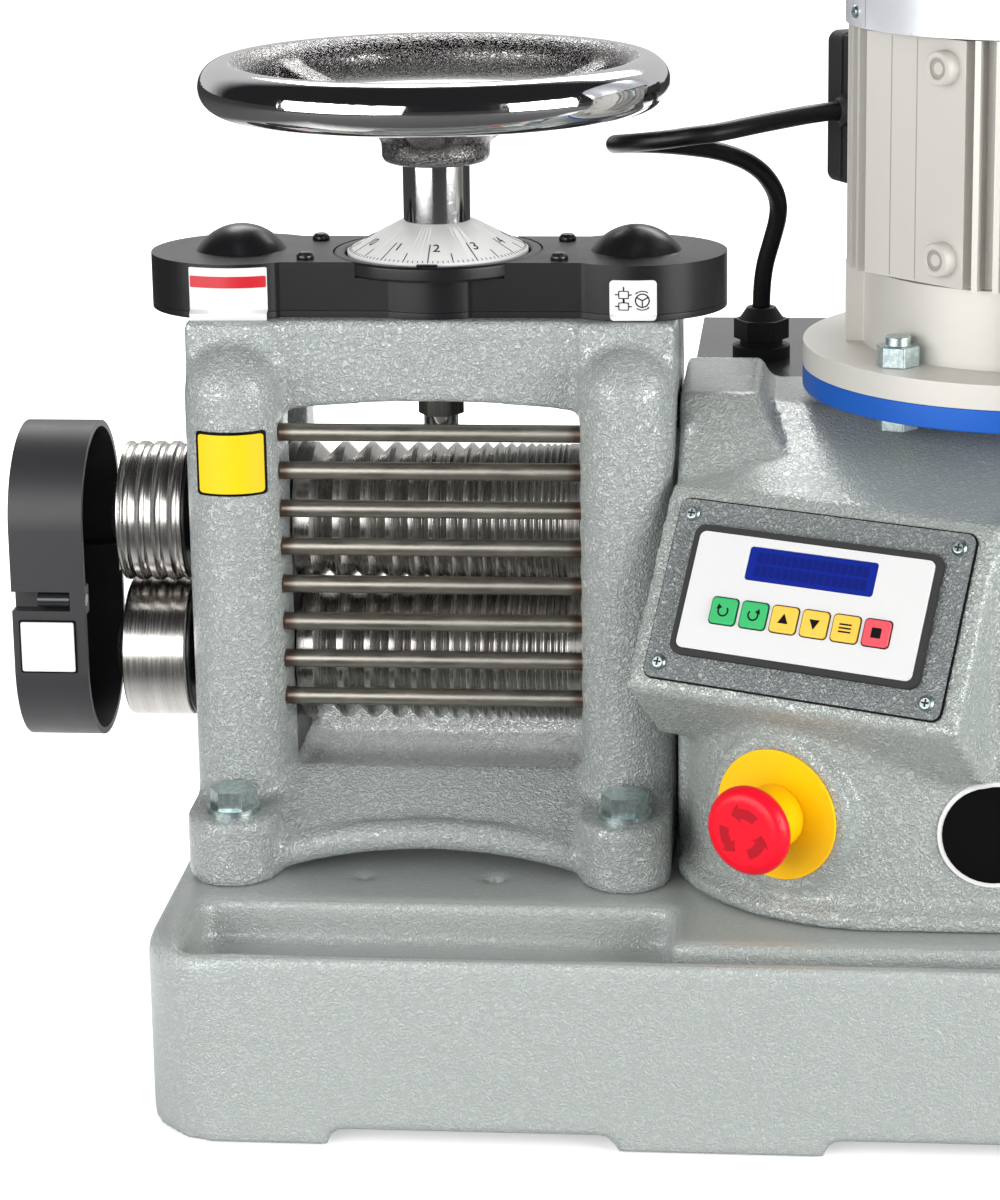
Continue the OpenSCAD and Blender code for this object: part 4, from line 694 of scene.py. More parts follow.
def revolved(profile: Profile, steps: int) -> Solid:
    """Turns a closed profile round Z.

    Args:
        profile: Radius and height of each point, in metres; radius 0 closes the shape on the axis.
        steps: Number of faces round the axis.

    Returns:
        The closed solid.
    """
    build = bmesh.new()
    turns = [2 * math.pi * i / steps for i in range(steps)]
    rings = []
    for radius, height in profile:
        if radius:
            spots = [(radius * math.cos(t), radius * math.sin(t), height) for t in turns]
            rings.append([build.verts.new(spot) for spot in spots])
        else:
            rings.append([build.verts.new((0.0, 0.0, height))] * steps)
    walls(build, rings)
    bmesh.ops.remove_doubles(build, verts=build.verts, dist=1e-7)
    return build


def swept(line: Sequence[Vector], diameter: float, sides: int = 20) -> Solid:
    """Sweeps a round section along a line, closed at both ends.

    Args:
        line: Points of the middle line.
        diameter: Diameter of the section.
        sides: Number of faces round it.

    Returns:
        The closed solid.
    """
    build = bmesh.new()
    turns = [2 * math.pi * k / sides for k in range(sides)]
    rings, side = [], Vector((1.0, 0.0, 0.0))
    for i, spot in enumerate(line):
        ahead = (line[min(i + 1, len(line) - 1)] - line[max(i - 1, 0)]).normalized()
        side = (side - ahead * side.dot(ahead)).normalized()
        other = ahead.cross(side)
        rings.append([build.verts.new(spot + (side * math.cos(t) + other * math.sin(t)) * diameter / 2)
                      for t in turns])
    walls(build, rings)
    build.faces.new(rings[0][::-1])
    build.faces.new(rings[-1])
    return build


def slab(outline: Profile, low: float, high: float) -> Solid:
    """Raises a flat outline into a closed plate.

    Args:
        outline: Points of the outline.
        low: Height of the underside.
        high: Height of the top.

    Returns:
        The closed solid.
    """
    build = bmesh.new()
    under, over = [[build.verts.new((x, y, z)) for x, y in outline] for z in (low, high)]
    build.faces.new(under[::-1])
    build.faces.new(over)
    walls(build, (under, over))
    return build


def corners(left: float, low: float, right: float, high: float) -> list[Pair]:
    """Gives the outline of a plain rectangle."""
    return [(left, low), (right, low), (right, high), (left, high)]


def rounded(width: float, height: float, corner: float, steps: int = 6) -> list[Pair]:
    """Gives the outline of a rectangle with round corners, centred on the origin.

    Args:
        width: Width of the rectangle.
        height: Height of the rectangle.
        corner: Radius of its corners.
        steps: Number of pieces round a corner.

    Returns:
        The points of the outline.
    """
    points = []
    for sx, sy, start in ((1, 1, 0), (-1, 1, 90), (-1, -1, 180), (1, -1, 270)):
        for i in range(steps + 1):
            turn = math.radians(start + 90 * i / steps)
            points.append((sx * (width / 2 - corner) + corner * math.cos(turn),
                           sy * (height / 2 - corner) + corner * math.sin(turn)))
    return points


def polar(radius: float, degrees: float, middle: Pair = (0.0, 0.0)) -> Pair:
    """Gives the point at a radius and an angle round a middle."""
    turn = math.radians(degrees)
    return (middle[0] + radius * math.cos(turn), middle[1] + radius * math.sin(turn))


def bar(start: Pair, end: Pair, width: float) -> Solid:
    """Makes a thin flat bar between two points, as a print.

    Args:
        start: Its first end.
        end: Its other end.
        width: Its width.

    Returns:
        The closed solid.
    """
    ahead = Vector((end[0] - start[0], end[1] - start[1])).normalized() * (width / 2)
    outline = [(start[0] + ahead.y, start[1] - ahead.x), (end[0] + ahead.y, end[1] - ahead.x),
               (end[0] - ahead.y, end[1] + ahead.x), (start[0] - ahead.y, start[1] + ahead.x)]
    return slab(outline, 0.0, PRINT_DEPTH)


def arc(inner: float, outer: float, start: float, end: float, middle: Pair = (0.0, 0.0), tip: float = 0.0,
        steps: int = 24) -> Solid:
    """Makes a thin flat arc, as a print, with an arrow head at its end where a tip is given.

    Args:
        inner: Inner radius.
        outer: Outer radius.
        start: Angle of its start in degrees.
        end: Angle of its end in degrees.
        middle: Middle of the arc.
        tip: Angle that the arrow head covers beyond the end, in degrees; 0 leaves it off.
        steps: Number of pieces along the arc.

    Returns:
        The closed solid.
    """
    rows = [(inner, outer, start + (end - start) * i / steps) for i in range(steps + 1)]
    if tip:
        wide, centre = (outer - inner) * 0.95, (inner + outer) / 2
        for along, share in ((0.01 / abs(tip), 1.0), (0.25, 0.75), (0.5, 0.5), (0.75, 0.25), (1.0, 0.04)):
            rows.append((centre - wide * share, centre + wide * share, end + tip * along))
    build = bmesh.new()
    lines = [[build.verts.new((*polar(radius, turn, middle), level)) for radius, level in
              ((low, 0.0), (high, 0.0), (high, PRINT_DEPTH), (low, PRINT_DEPTH))] for low, high, turn in rows]
    walls(build, lines)
    build.faces.new(lines[0])
    build.faces.new(lines[-1][::-1])
    return build


def ring(outer: Triple, inner: Triple, low: float, high: float) -> Solid:
    """Makes a flat frame between two rectangles with round corners.

    Args:
        outer: Width, height and corner radius of its outside.
        inner: The same of its inside.
        low: Height of the underside.
        high: Height of the top.

    Returns:
        The closed solid.
    """
    build = bmesh.new()
    loops = [[build.verts.new((x, y, z)) for x, y in rounded(*size)]
             for size, z in ((outer, low), (outer, high), (inner, high), (inner, low))]
    walls(build, loops + loops[:1])
    return build


def joined(parts: Iterable[Solid]) -> Solid:
    """Puts several solids into one and frees them.

    Args:
        parts: The solids.

    Returns:
        The one that holds them all.
    """
    whole = bmesh.new()
    for part in parts:
        scratch = bpy.data.meshes.new("scratch")
        part.to_mesh(scratch)
        part.free()
        whole.from_mesh(scratch)
        bpy.data.meshes.remove(scratch)
    return whole


def number_mesh(body: str, height: float) -> Solid:
    """Draws a number as a flat filled mesh, centred.

    Args:
        body: The number.
        height: Height of its figures.

    Returns:
        The flat mesh, in triangles.
    """
    curve = bpy.data.curves.new("figure", "FONT")
    curve.body, curve.size = body, height / FIGURE_SHARE
    curve.align_x, curve.align_y = "CENTER", "CENTER"
    holder = bpy.data.objects.new("figure", curve)
    bpy.context.scene.collection.objects.link(holder)
    mesh = evaluated(holder)
    build = solid_of(mesh)
    bpy.data.objects.remove(holder)
    bpy.data.meshes.remove(mesh)
    bmesh.ops.remove_doubles(build, verts=build.verts, dist=1e-6)
    bmesh.ops.triangulate(build, faces=build.faces)
    return build


def thicken(build: Solid, depth: float) -> None:
    """Gives a flat mesh in the XY plane a thickness upward, closed all round.

    Args:
        build: The flat mesh.
        depth: Its thickness.
    """
    flat = bmesh.ops.extrude_face_region(build, geom=list(build.faces))
    lifted = [part for part in flat["geom"] if isinstance(part, bmesh.types.BMVert)]
    bmesh.ops.translate(build, verts=lifted, vec=(0.0, 0.0, depth))


# Repeats


class Copier(NamedTuple):
    """A tree that repeats a shape, and the identifiers of its named sizes."""

    tree: bpy.types.NodeTree
    sizes: dict[str, str]


class CopyTree:
    """Geometry Nodes trees that repeat one shape, each built once."""

    @staticmethod
    def shell(name: str, inputs: dict[str, str]) -> tuple[Graph, bpy.types.NodeOutputs, dict[str, str]]:
        """Makes an empty tree with a shape input, a material input and named sizes.

        Args:
            name: The tree's name.
            inputs: Input name to socket type.

        Returns:
            The graph, its inputs by name, and input name to identifier.
        """
        tree = bpy.data.node_groups.new(name, "GeometryNodeTree")
        tree.interface.new_socket("Shape", in_out="INPUT", socket_type="NodeSocketGeometry")
        names = {label: tree.interface.new_socket(label, in_out="INPUT", socket_type=kind).identifier
                 for label, kind in {**inputs, "Finish": "NodeSocketMaterial"}.items()}
        tree.interface.new_socket("Shape", in_out="OUTPUT", socket_type="NodeSocketGeometry")
        graph = Graph(tree)
        return graph, graph.add("NodeGroupInput").outputs, names

    @staticmethod
    def close(graph: Graph, points: Socket, given: bpy.types.NodeOutputs, **settings: Socket) -> None:
        """Ends a tree: sets the shape on points, makes the copies real and gives them their finish.

        Args:
            graph: The tree's graph.
            points: Points that carry the copies.
            given: The tree's inputs by name.
            **settings: More inputs of the copies.
        """
        copies = graph.add("GeometryNodeInstanceOnPoints", {
            "Points": points, "Instance": given["Shape"], **settings}).outputs[0]
        real = graph.add("GeometryNodeRealizeInstances", {0: copies}).outputs[0]
        dressed = graph.add("GeometryNodeSetMaterial", {"Geometry": real, "Material": given["Finish"]})
        graph.add("NodeGroupOutput", {0: dressed.outputs[0]})

    @staticmethod
    @cache
    def round_axis() -> Copier:
        """Builds the tree that copies a shape round Z: Count copies, Step radians apart, from Start on.

        Returns:
            The tree.
        """
        sizes = {"Count": "NodeSocketInt", "Step": "NodeSocketFloat", "Start": "NodeSocketFloat"}
        graph, given, names = CopyTree.shell("copies_round_axis", sizes)
        seats = graph.add("GeometryNodeMeshLine", {"Count": given["Count"], "Offset": (0.0, 0.0, 0.0)})
        number = graph.add("GeometryNodeInputIndex").outputs[0]
        turn = graph.math("ADD", graph.math("MULTIPLY", number, given["Step"]), given["Start"])
        euler = graph.add("ShaderNodeCombineXYZ", {2: turn}).outputs[0]
        spin = graph.add("FunctionNodeEulerToRotation", {0: euler}).outputs[0]
        CopyTree.close(graph, seats.outputs[0], given, Rotation=spin)
        return Copier(graph.tree, names)

    @staticmethod
    @cache
    def grid() -> Copier:
        """Builds the tree that copies a shape over a centred grid of Across by Down, Width by Height in all.

        Returns:
            The tree.
        """
        sizes = {"Across": "NodeSocketInt", "Down": "NodeSocketInt", "Width": "NodeSocketFloat",
                 "Height": "NodeSocketFloat"}
        graph, given, names = CopyTree.shell("copies_on_grid", sizes)
        seats = graph.add("GeometryNodeMeshGrid", {
            "Size X": given["Width"], "Size Y": given["Height"], "Vertices X": given["Across"],
            "Vertices Y": given["Down"]})
        CopyTree.close(graph, seats.outputs[0], given)
        return Copier(graph.tree, names)

    @staticmethod
    def make(name: str, build: Solid, copier: Copier, sizes: dict[str, float], finish: Finish,
             place: Matrix) -> bpy.types.Object:
        """Repeats a solid with one of the trees and puts the result in place.

        Args:
            name: The new piece's name.
            build: The solid to repeat, at the tree's own origin.
            copier: The tree.
            sizes: The tree's named sizes.
            finish: The copies' finish.
            place: Where the tree's frame sits in the machine.

        Returns:
            A piece with a plain mesh at the origin.
        """
        piece = new_piece(name, mesh_of(name, build), finish)
        modifier = piece.modifiers.new("copies", "NODES")
        modifier.node_group = copier.tree
        for label, size in {**sizes, "Finish": finish.material()}.items():
            modifier[copier.sizes[label]] = size
        freeze(piece)
        piece.data.transform(place)
        return piece

    @staticmethod
    def round_motor(name: str, build: Solid, count: int, start: float, finish: Finish) -> bpy.types.Object:
        """Repeats a solid evenly round the motor's axis, from a start in degrees."""
        sizes = {"Count": count, "Step": 2 * math.pi / count, "Start": math.radians(start)}
        return CopyTree.make(name, build, CopyTree.round_axis(), sizes, finish, Matrix.Translation(MOTOR))


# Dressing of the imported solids


class Soften(Enum):
    """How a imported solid's copy is softened."""

    CAST = "rounded all over, as a casting is"
    EDGE = "edges broken"
    KEEP = "shown as packed"


@dataclass(frozen=True)
class Dress:
    """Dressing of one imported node.

    Attributes:
        node: The node's name.
        finish: Its finish.
        soften: How its copy is softened.
        size: Grain of a casting's rounding, or width of a broken edge, in metres.
        passes: Smoothing passes of a casting.
    """

    node: str
    finish: Finish
    soften: Soften = Soften.EDGE
    size: float = 0.0005
    passes: int = 8

    def apply(self) -> bpy.types.Object:
        """Dresses the node.

        Returns:
            The piece that shows it.
        """
        node = frame["nodes"][self.node]
        if self.soften is Soften.KEEP:
            wear(node, self.finish)
            return node
        piece = self.cast() if self.soften is Soften.CAST else self.edged()
        return settle(piece, node["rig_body"], SLOTS[self.node], self.node)

    def cast(self) -> bpy.types.Object:
        """Rounds the node all over.

        Returns:
            The rounded copy.
        """
        build = merged(self.node)
        mesh = bpy.data.meshes.new(self.node)
        build.to_mesh(mesh)
        build.free()
        piece = new_piece(f"{self.node}_dressed", mesh, self.finish)
        grain = piece.modifiers.new("grain", "REMESH")
        grain.mode, grain.voxel_size, grain.adaptivity = "VOXEL", self.size, 0.0
        flow = piece.modifiers.new("flow", "SMOOTH")
        flow.factor, flow.iterations = 0.5, self.passes
        freeze(piece)
        wear(piece, self.finish)
        piece.data.shade_smooth()
        return piece

    def edged(self) -> bpy.types.Object:
        """Breaks the node's sharp edges.

        Returns:
            The copy with broken edges.
        """
        build = merged(self.node)
        bmesh.ops.dissolve_limit(build, angle_limit=FLAT_WITHIN, verts=build.verts, edges=build.edges)
        sharp = [e for e in build.edges if e.is_manifold and e.calc_face_angle(0.0) > BREAK_ABOVE]
        bmesh.ops.bevel(build, geom=sharp, offset=self.size, segments=2, profile=0.5, affect="EDGES",
                        clamp_overlap=True)
        piece = new_piece(f"{self.node}_dressed", mesh_of(self.node, build), self.finish)
        piece.modifiers.new("faces", "WEIGHTED_NORMAL").keep_sharp = True
        freeze(piece)
        return piece


def dress_all(finish: Finish, size: float, *nodes: str) -> None:
    """Dresses several nodes alike, with broken edges."""
    for node in nodes:
        Dress(node, finish, size=size).apply()


def keep_all(finish: Finish, *nodes: str) -> None:
    """Gives several nodes a finish and leaves their shapes as packed."""
    for node in nodes:
        Dress(node, finish, Soften.KEEP).apply()


# Where things are


def turned(degrees: float, axis: str) -> Matrix:
    """Gives a turn about an axis, in degrees."""
    return Matrix.Rotation(math.radians(degrees), 4, axis)


CONSOLE_AT = (0.009, -0.133, 0.224)
CONSOLE_TURN = -25.0
CONSOLE_TILT = 61.0
CONSOLE = Matrix.Translation(CONSOLE_AT) @ turned(CONSOLE_TURN, "Z") @ turned(CONSOLE_TILT, "X")
NOSE_AT = (0.039, -0.064, 0.134)
NOSE_RADIUS = 0.088
STOP_TURN = -29.0
STOP = (Matrix.Translation(NOSE_AT) @ turned(STOP_TURN, "Z") @ Matrix.Translation((0.0, -NOSE_RADIUS, 0.0))
        @ turned(90.0, "X"))
EYE = (0.016, -1.493, 0.624)
PHOTO_FOCAL = 3100.0
PHOTO_AXIS = (820.0, -315.0)
RAY_START = 0.03


def sight(column: float, row: float) -> Vector:
    """Gives the direction from the eye through a pixel of the photograph."""
    across, down = (column - PHOTO_AXIS[0]) / PHOTO_FOCAL, (row - PHOTO_AXIS[1]) / PHOTO_FOCAL
    return Vector((across, 1.0, -down)).normalized()


@dataclass(frozen=True)
class Plate:
    """One layer of a thin plate that follows a surface.

    Attributes:
        name: The piece's name.
        size: Width and height in metres.
        corner: Corner radius in metres.
        low: Height of its underside over the surface.
        high: Height of its face over the surface.
        finish: Its finish.
        slot: The record's material slot.
        raised: How far its middle lies above the middle of the stack.
    """

    name: str
    size: Pair
    corner: float
    low: float
    high: float
    finish: Finish
    slot: str
    raised: float = 0.0

    def half_width(self, level: float) -> float:
        """Gives half the plate's width at a level over its middle."""
        width, height = self.size
        over = max(0.0, abs(level) - (height / 2 - self.corner))
        half = width / 2 - self.corner + math.sqrt(max(0.0, self.corner ** 2 - over ** 2))
        return max(half, width * 0.02)


class Carrier:
    """A dressed piece as a surface that plates can be laid on."""

    columns = 18
    rows = 20

    def __init__(self, piece: bpy.types.Object) -> None:
        """Reads the piece's mesh."""
        build = solid_of(piece.data)
        self.tree = BVHTree.FromBMesh(build)
        build.free()

    def over(self, place: Matrix, x: float, y: float, lift: float) -> Vector:
        """Gives a point over the surface, straight in from a point of an upright frame.

        Args:
            place: Frame near the surface, with Z outward.
            x: Place across the frame.
            y: Place up the frame.
            lift: Height over the surface.

        Returns:
            The point, or the frame's own where the surface is missed.
        """
        out = place.to_3x3() @ Vector((0.0, 0.0, 1.0))
        aim = place @ Vector((x, y, 0.0))
        hit, face, _, _ = self.tree.ray_cast(aim + out * RAY_START, -out)
        return aim + out * lift if hit is None else hit + face * lift

    def lay(self, build: Solid, place: Matrix, low: float, high: float) -> Solid:
        """Wraps a thin flat solid onto the surface, looking along the place's own Z.

        Args:
            build: The solid round the origin; its points at zero and below become the underside.
            place: Frame over the surface, with Z outward.
            low: Height of the underside over the surface.
            high: Height of the face over the surface.

        Returns:
            The same solid, in the machine's place.
        """
        for vert in build.verts:
            vert.co = self.over(place, vert.co.x, vert.co.y, high if vert.co.z > 1e-6 else low)
        return build

    def plate(self, plate: Plate, place: Matrix) -> Solid:
        """Makes a thin plate that follows the surface.

        Args:
            plate: The plate.
            place: Its upright frame.

        Returns:
            The closed solid, in the machine's place.
        """
        build = bmesh.new()
        levels = [-math.cos(math.pi * j / self.rows) * plate.size[1] / 2 for j in range(self.rows + 1)]
        shares = [2 * i / self.columns - 1 for i in range(self.columns + 1)]
        rims = []
        for lift in (plate.low, plate.high):
            lines = [[build.verts.new(self.over(place, plate.half_width(level) * share, level, lift))
                      for share in shares] for level in levels]
            for lower, upper in zip(lines, lines[1:]):
                for i in range(self.columns):
                    build.faces.new((lower[i], lower[i + 1], upper[i + 1], upper[i]))
            rims.append(lines[0] + [line[-1] for line in lines[1:]] + lines[-1][-2::-1]
                        + [line[0] for line in lines[-2:0:-1]])
        walls(build, rims)
        return build

    def fix(self, pixel: tuple[int, int], body: str, *plates: Plate) -> Matrix:
        """Fixes a stack of plates, upright, where a pixel of the photograph shows this surface.

        Args:
            pixel: Column and row in the photograph.
            body: Body that carries the plates.
            *plates: The layers, the lowest first.

        Returns:
            The upright frame of the stack: Z outward, and Y as near to upward as it can be.

        Raises:
            ValueError: The pixel doesn't show this surface.
        """
        centre, out, _, _ = self.tree.ray_cast(Vector(EYE), sight(*pixel))
        if centre is None:
            raise ValueError(f"pixel {pixel} misses the surface")
        out = out.normalized()
        across = Vector((0.0, 0.0, 1.0)).cross(out).normalized()
        upright = Matrix((across, out.cross(across), out)).transposed().to_4x4()
        for plate in plates:
            place = Matrix.Translation(centre + Vector((0.0, 0.0, plate.raised))) @ upright
            add_piece(plate.name, self.plate(plate, place), Matrix(), plate.finish, body, plate.slot)
        return Matrix.Translation(centre) @ upright


# Sub-assemblies


@dataclass
class Castings:
    """Base, mill frame and drive housing in hammered grey enamel, with their bare plates.

    Attributes:
        base: Dressing of the base.
        mill: Dressing of the mill frame.
        housing: Dressing of the drive housing.
        badge_pixel: Where the photograph shows the middle of the housing's badge.
        badge: Layers of the round badge.
        column_pixel: Where the photograph shows the middle of the left column's plate.
        column_plate: Layers of that plate.
    """

    base: Dress = Dress("base_casting", BASE_HAMMER, Soften.CAST, 0.0029, 5)
    mill: Dress = Dress("mill_frame", GREY_HAMMER, Soften.CAST, 0.002, 8)
    housing: Dress = Dress("drive_housing", HOUSING_HAMMER, Soften.CAST, 0.0025, 5)
    badge_pixel: tuple[int, int] = (986, 826)
    badge: tuple[Plate, ...] = (
        Plate("badge_ring", (0.0475, 0.0475), 0.02375, -0.0004, 0.0009, PLATE_WHITE, "white_plastic"),
        Plate("badge_face", (0.0435, 0.0435), 0.02175, -0.0002, 0.0012, PRINT_BLACK, "black_plastic"))
    column_pixel: tuple[int, int] = (243, 459)
    column_plate: tuple[Plate, ...] = (
        Plate("column_plate_border", (0.0300, 0.0290), 0.0014, -0.0004, 0.0008, PRINT_BLACK, "black_plastic"),
        Plate("column_plate_face", (0.0276, 0.0266), 0.0014, -0.0002, 0.0011, PLATE_YELLOW, "yellow_plastic"))

    def dress(self) -> None:
        """Dresses the castings and fixes their plates."""
        self.base.apply()
        mill = Carrier(self.mill.apply())
        housing = Carrier(self.housing.apply())
        housing.fix(self.badge_pixel, "machine", *self.badge)
        mill.fix(self.column_pixel, "machine", *self.column_plate)


@dataclass
class Screwdown:
    """Gear cover, dial and handwheel over the mill frame.

    Attributes:
        dial_radius: Radius of the dial's lower edge.
        dial_top: Radius of the dial's upper edge.
        dial_low: Height of its lower edge.
        dial_high: Height of its upper edge.
        numbers: Count of numbers round the dial.
        first: Number at the pointer.
        lines: Name, count for each number, start as a share of a step, inner radius and width of the lines.
        line_end: Outer radius of the lines.
        figure: Height of the numbers' figures.
        figure_radius: Radius of the numbers' middle.
        figure_aside: How far a number stands beside its line.
        figure_squash: Share of their height that the figures keep on the cone.
        sunk: How far a print reaches into the dial.
        proud: How far a line stands over the dial.
        pointer_edges: Left, front, right and back of the pointer, from the dial's axis.
        pointer_levels: Heights of its underside and top.
        left_pixel: Where the photograph shows the middle of the left lobe's plate.
        left_plates: Layers of that plate.
        right_pixel: Where the photograph shows the middle of the right lobe's plate.
        right_plate: That plate.
    """

    dial_radius: float = 0.041
    dial_top: float = 0.01675
    dial_low: float = 0.3575
    dial_high: float = 0.3705
    numbers: int = 11
    first: int = 2
    lines: tuple[tuple[str, int, float, float, float], ...] = (
        ("dial_lines", 1, 0.0, 0.0288, 0.00042), ("dial_halves", 1, 0.5, 0.0346, 0.00036),
        ("dial_ticks", 10, 0.0, 0.0391, 0.0003))
    line_end: float = 0.0403
    figure: float = 0.0052
    figure_radius: float = 0.0313
    figure_aside: float = 0.0030
    figure_squash: float = 0.92
    sunk: float = 0.0001
    proud: float = 0.00012
    pointer_edges: tuple[float, float, float, float] = (-0.0045, -0.0446, 0.0045, -0.0417)
    pointer_levels: Pair = (0.3562, 0.3576)
    left_pixel: tuple[int, int] = (246, 291)
    left_plates: tuple[Plate, ...] = (
        Plate("left_lobe_plate", (0.0345, 0.0240), 0.0006, -0.0004, 0.0007, PLATE_WHITE, "white_plastic"),
        Plate("left_lobe_band", (0.0335, 0.0052), 0.0006, -0.0001, 0.0009, PLATE_RED, "red_plastic", 0.0056))
    right_pixel: tuple[int, int] = (636, 295)
    right_plate: Plate = Plate("right_lobe_plate", (0.0205, 0.0180), 0.0018, -0.0004, 0.0007, PLATE_WHITE,
                               "white_plastic")

    def on_cone(self, radius: float, lift: float) -> float:
        """Gives the height over the dial's cone at a radius."""
        share = (self.dial_radius - radius) / (self.dial_radius - self.dial_top)
        return self.dial_low + share * (self.dial_high - self.dial_low) + lift

    def mark(self, inner: float, width: float) -> Solid:
        """Makes one printed line on the cone, pointing to the front.

        Args:
            inner: Radius of its inner end.
            width: Width of the line.

        Returns:
            The closed solid about the dial's axis.
        """
        build = slab(corners(-width / 2, -inner, width / 2, -self.line_end), -self.sunk, self.proud)
        for vert in build.verts:
            vert.co.z = self.on_cone(-vert.co.y, vert.co.z)
        return build

    def number(self, place: int, turn: float) -> Solid:
        """Prints one number beside its line on the cone.

        Args:
            place: Its place round the dial, counted from the pointer.
            turn: Angle of its line.

        Returns:
            The closed solid about the dial's axis.
        """
        build = number_mesh(str((self.first + place) % self.numbers), self.figure)
        bmesh.ops.subdivide_edges(build, edges=build.edges, cuts=1)
        bmesh.ops.triangulate(build, faces=build.faces)
        thicken(build, self.sunk)
        for vert in build.verts:
            x, y, z = vert.co
            radius = self.figure_radius - y * self.figure_squash
            angle = turn + (self.figure_aside + x) / self.figure_radius
            vert.co = (radius * math.cos(angle), radius * math.sin(angle),
                       self.on_cone(radius, z * 2 - self.sunk))
        return build

    def dial_print(self) -> None:
        """Prints lines, ticks and plain numbers on the dial."""
        step = 2 * math.pi / self.numbers
        place = Matrix.Translation(MILL)
        for name, each, start, inner, width in self.lines:
            sizes = {"Count": self.numbers * each, "Step": step / each, "Start": start * step}
            piece = CopyTree.make(name, self.mark(inner, width), CopyTree.round_axis(), sizes, PRINT_BLACK,
                                  place)
            settle(piece, "handwheel", "black_plastic")
        figures = joined(self.number(i, i * step - math.pi / 2) for i in range(self.numbers))
        add_piece("dial_numbers", figures, place, PRINT_BLACK, "handwheel", "black_plastic")

    def pointer(self) -> None:
        """Adds the dark pointer at the front of the dial's bezel."""
        build = slab(corners(*self.pointer_edges), *self.pointer_levels)
        add_piece("dial_pointer", build, Matrix.Translation(MILL), PRINT_BLACK, "machine", "black_steel")

    @staticmethod
    def sign() -> Solid:
        """Draws the plain sign of a wheel and two rolls, round the origin.

        Returns:
            The flat solid.
        """
        wheel, rolls, stroke = (0.0040, 0.0), -0.0041, 0.0005
        marks = [arc(0.0027, 0.0032, 0, 360, wheel, steps=36)]
        marks += [arc(0.0040, 0.0044, start, start + 70, wheel, tip=12) for start in (55, 235)]
        marks += [bar(wheel, polar(0.0029, spoke, wheel), stroke) for spoke in (30, 150, 270)]
        for level in (0.0026, -0.0026):
            box = corners(-0.0062, level - 0.0016, -0.0020, level + 0.0016)
            marks += [bar(one, two, 0.0004) for one, two in zip(box, box[1:] + box[:1])]
            marks += [bar((start, level), (end, level), stroke)
                      for start, end in ((-0.0078, -0.0064), (-0.0018, -0.0006))]
        marks += [bar((rolls, 0.0044), (rolls, 0.0062), stroke),
                  bar((rolls, -0.0008), (rolls, 0.0008), 0.0008)]
        return joined(marks)

    def plates(self, cover: Carrier) -> None:
        """Adds the bare plates on the two lobes of the gear cover, and the sign on the right one.

        Args:
            cover: The dressed gear cover.
        """
        cover.fix(self.left_pixel, "machine", *self.left_plates)
        place = cover.fix(self.right_pixel, "machine", self.right_plate)
        sign = cover.lay(self.sign(), place, 0.0004, 0.0009)
        add_piece("lobe_pictogram", sign, Matrix(), PRINT_BLACK, "machine", "black_plastic")

    def dress(self) -> None:
        """Dresses the cover, dial and wheel and adds their prints and plates."""
        cover = Dress("gear_cover", BLACK_SATIN, size=0.0009).apply()
        dress_all(BLACK_SATIN, 0.0003, "gear_plate")
        dress_all(BLACK_GLOSS, 0.0004, "cover_screws")
        dress_all(BLACK_SATIN, 0.0004, "dial_bezel")
        dress_all(DIAL_WHITE, 0.0003, "dial")
        Dress("handwheel", WHEEL_PLATE, Soften.CAST, 0.0016, 6).apply()
        dress_all(CHROME, 0.0004, "handwheel_shaft")
        dress_all(BLOCK_STEEL, 0.0005, "pivot_nut")
        keep_all(BLOCK_STEEL, "centre_gear", "idler_left", "idler_right", "spindle_left", "spindle_right")
        keep_all(BRONZE, "spindle_nuts")
        self.dial_print()
        self.pointer()
        self.plates(Carrier(cover))


@dataclass
class Rolls:
    """Rolls, bearing blocks, side rolls, cross rods and frame bolts.

    Attributes:
        roll_edge: Broken edge of the grooves.
        side_edge: Broken edge of the side rolls and their caps.
        block_edge: Broken edge of the bearing blocks.
        bolt_edge: Broken edge of the bolts.
        fine_edge: Broken edge of collars and rods.
    """

    roll_edge: float = 0.0002
    side_edge: float = 0.0012
    block_edge: float = 0.0008
    bolt_edge: float = 0.0005
    fine_edge: float = 0.0004

    def dress(self) -> None:
        """Dresses the rolls and what carries them."""
        dress_all(ROLL_STEEL, self.roll_edge, "upper_roll", "lower_roll")
        dress_all(ROLL_STEEL, self.side_edge, "upper_side_roll", "lower_side_roll", "upper_side_cap",
                  "lower_side_cap")
        dress_all(BLACK_SATIN, self.fine_edge, "upper_collar", "lower_collar")
        dress_all(BLOCK_STEEL, self.block_edge, "upper_blocks", "lower_blocks")
        keep_all(BLOCK_STEEL, "upper_roll_gear", "lower_roll_gear")
        dress_all(ROD_STEEL, self.fine_edge, "guard_rods")
        dress_all(ZINC, self.bolt_edge, "frame_bolts")


@dataclass
class SideGuard:
    """The guard of the side rolls, with its screws and bare plate.

    Attributes:
        pixel: Where the photograph shows the plate's middle.
        plates: Layers of the plate.
    """

    pixel: tuple[int, int] = (54, 646)
    plates: tuple[Plate, ...] = (
        Plate("guard_plate_frame", (0.0262, 0.0250), 0.0008, -0.0004, 0.0007, PRINT_BLACK, "black_plastic"),
        Plate("guard_plate", (0.0246, 0.0234), 0.0008, -0.0002, 0.0010, PLATE_WHITE, "white_plastic"))

    def dress(self) -> None:
        """Dresses the guard and fixes its plate."""
        guard = Dress("side_guard", GUARD_SATIN, size=0.0012).apply()
        dress_all(BLACK_GLOSS, 0.0004, "guard_screws")
        Carrier(guard).fix(self.pixel, "side_guard", *self.plates)


class Symbol(Enum):
    """Plain symbols on the keys."""

    TURN_LEFT = "arrow round to the left"
    TURN_RIGHT = "arrow round to the right"
    UP = "triangle upward"
    DOWN = "triangle downward"
    BARS = "three bars"
    SQUARE = "square"


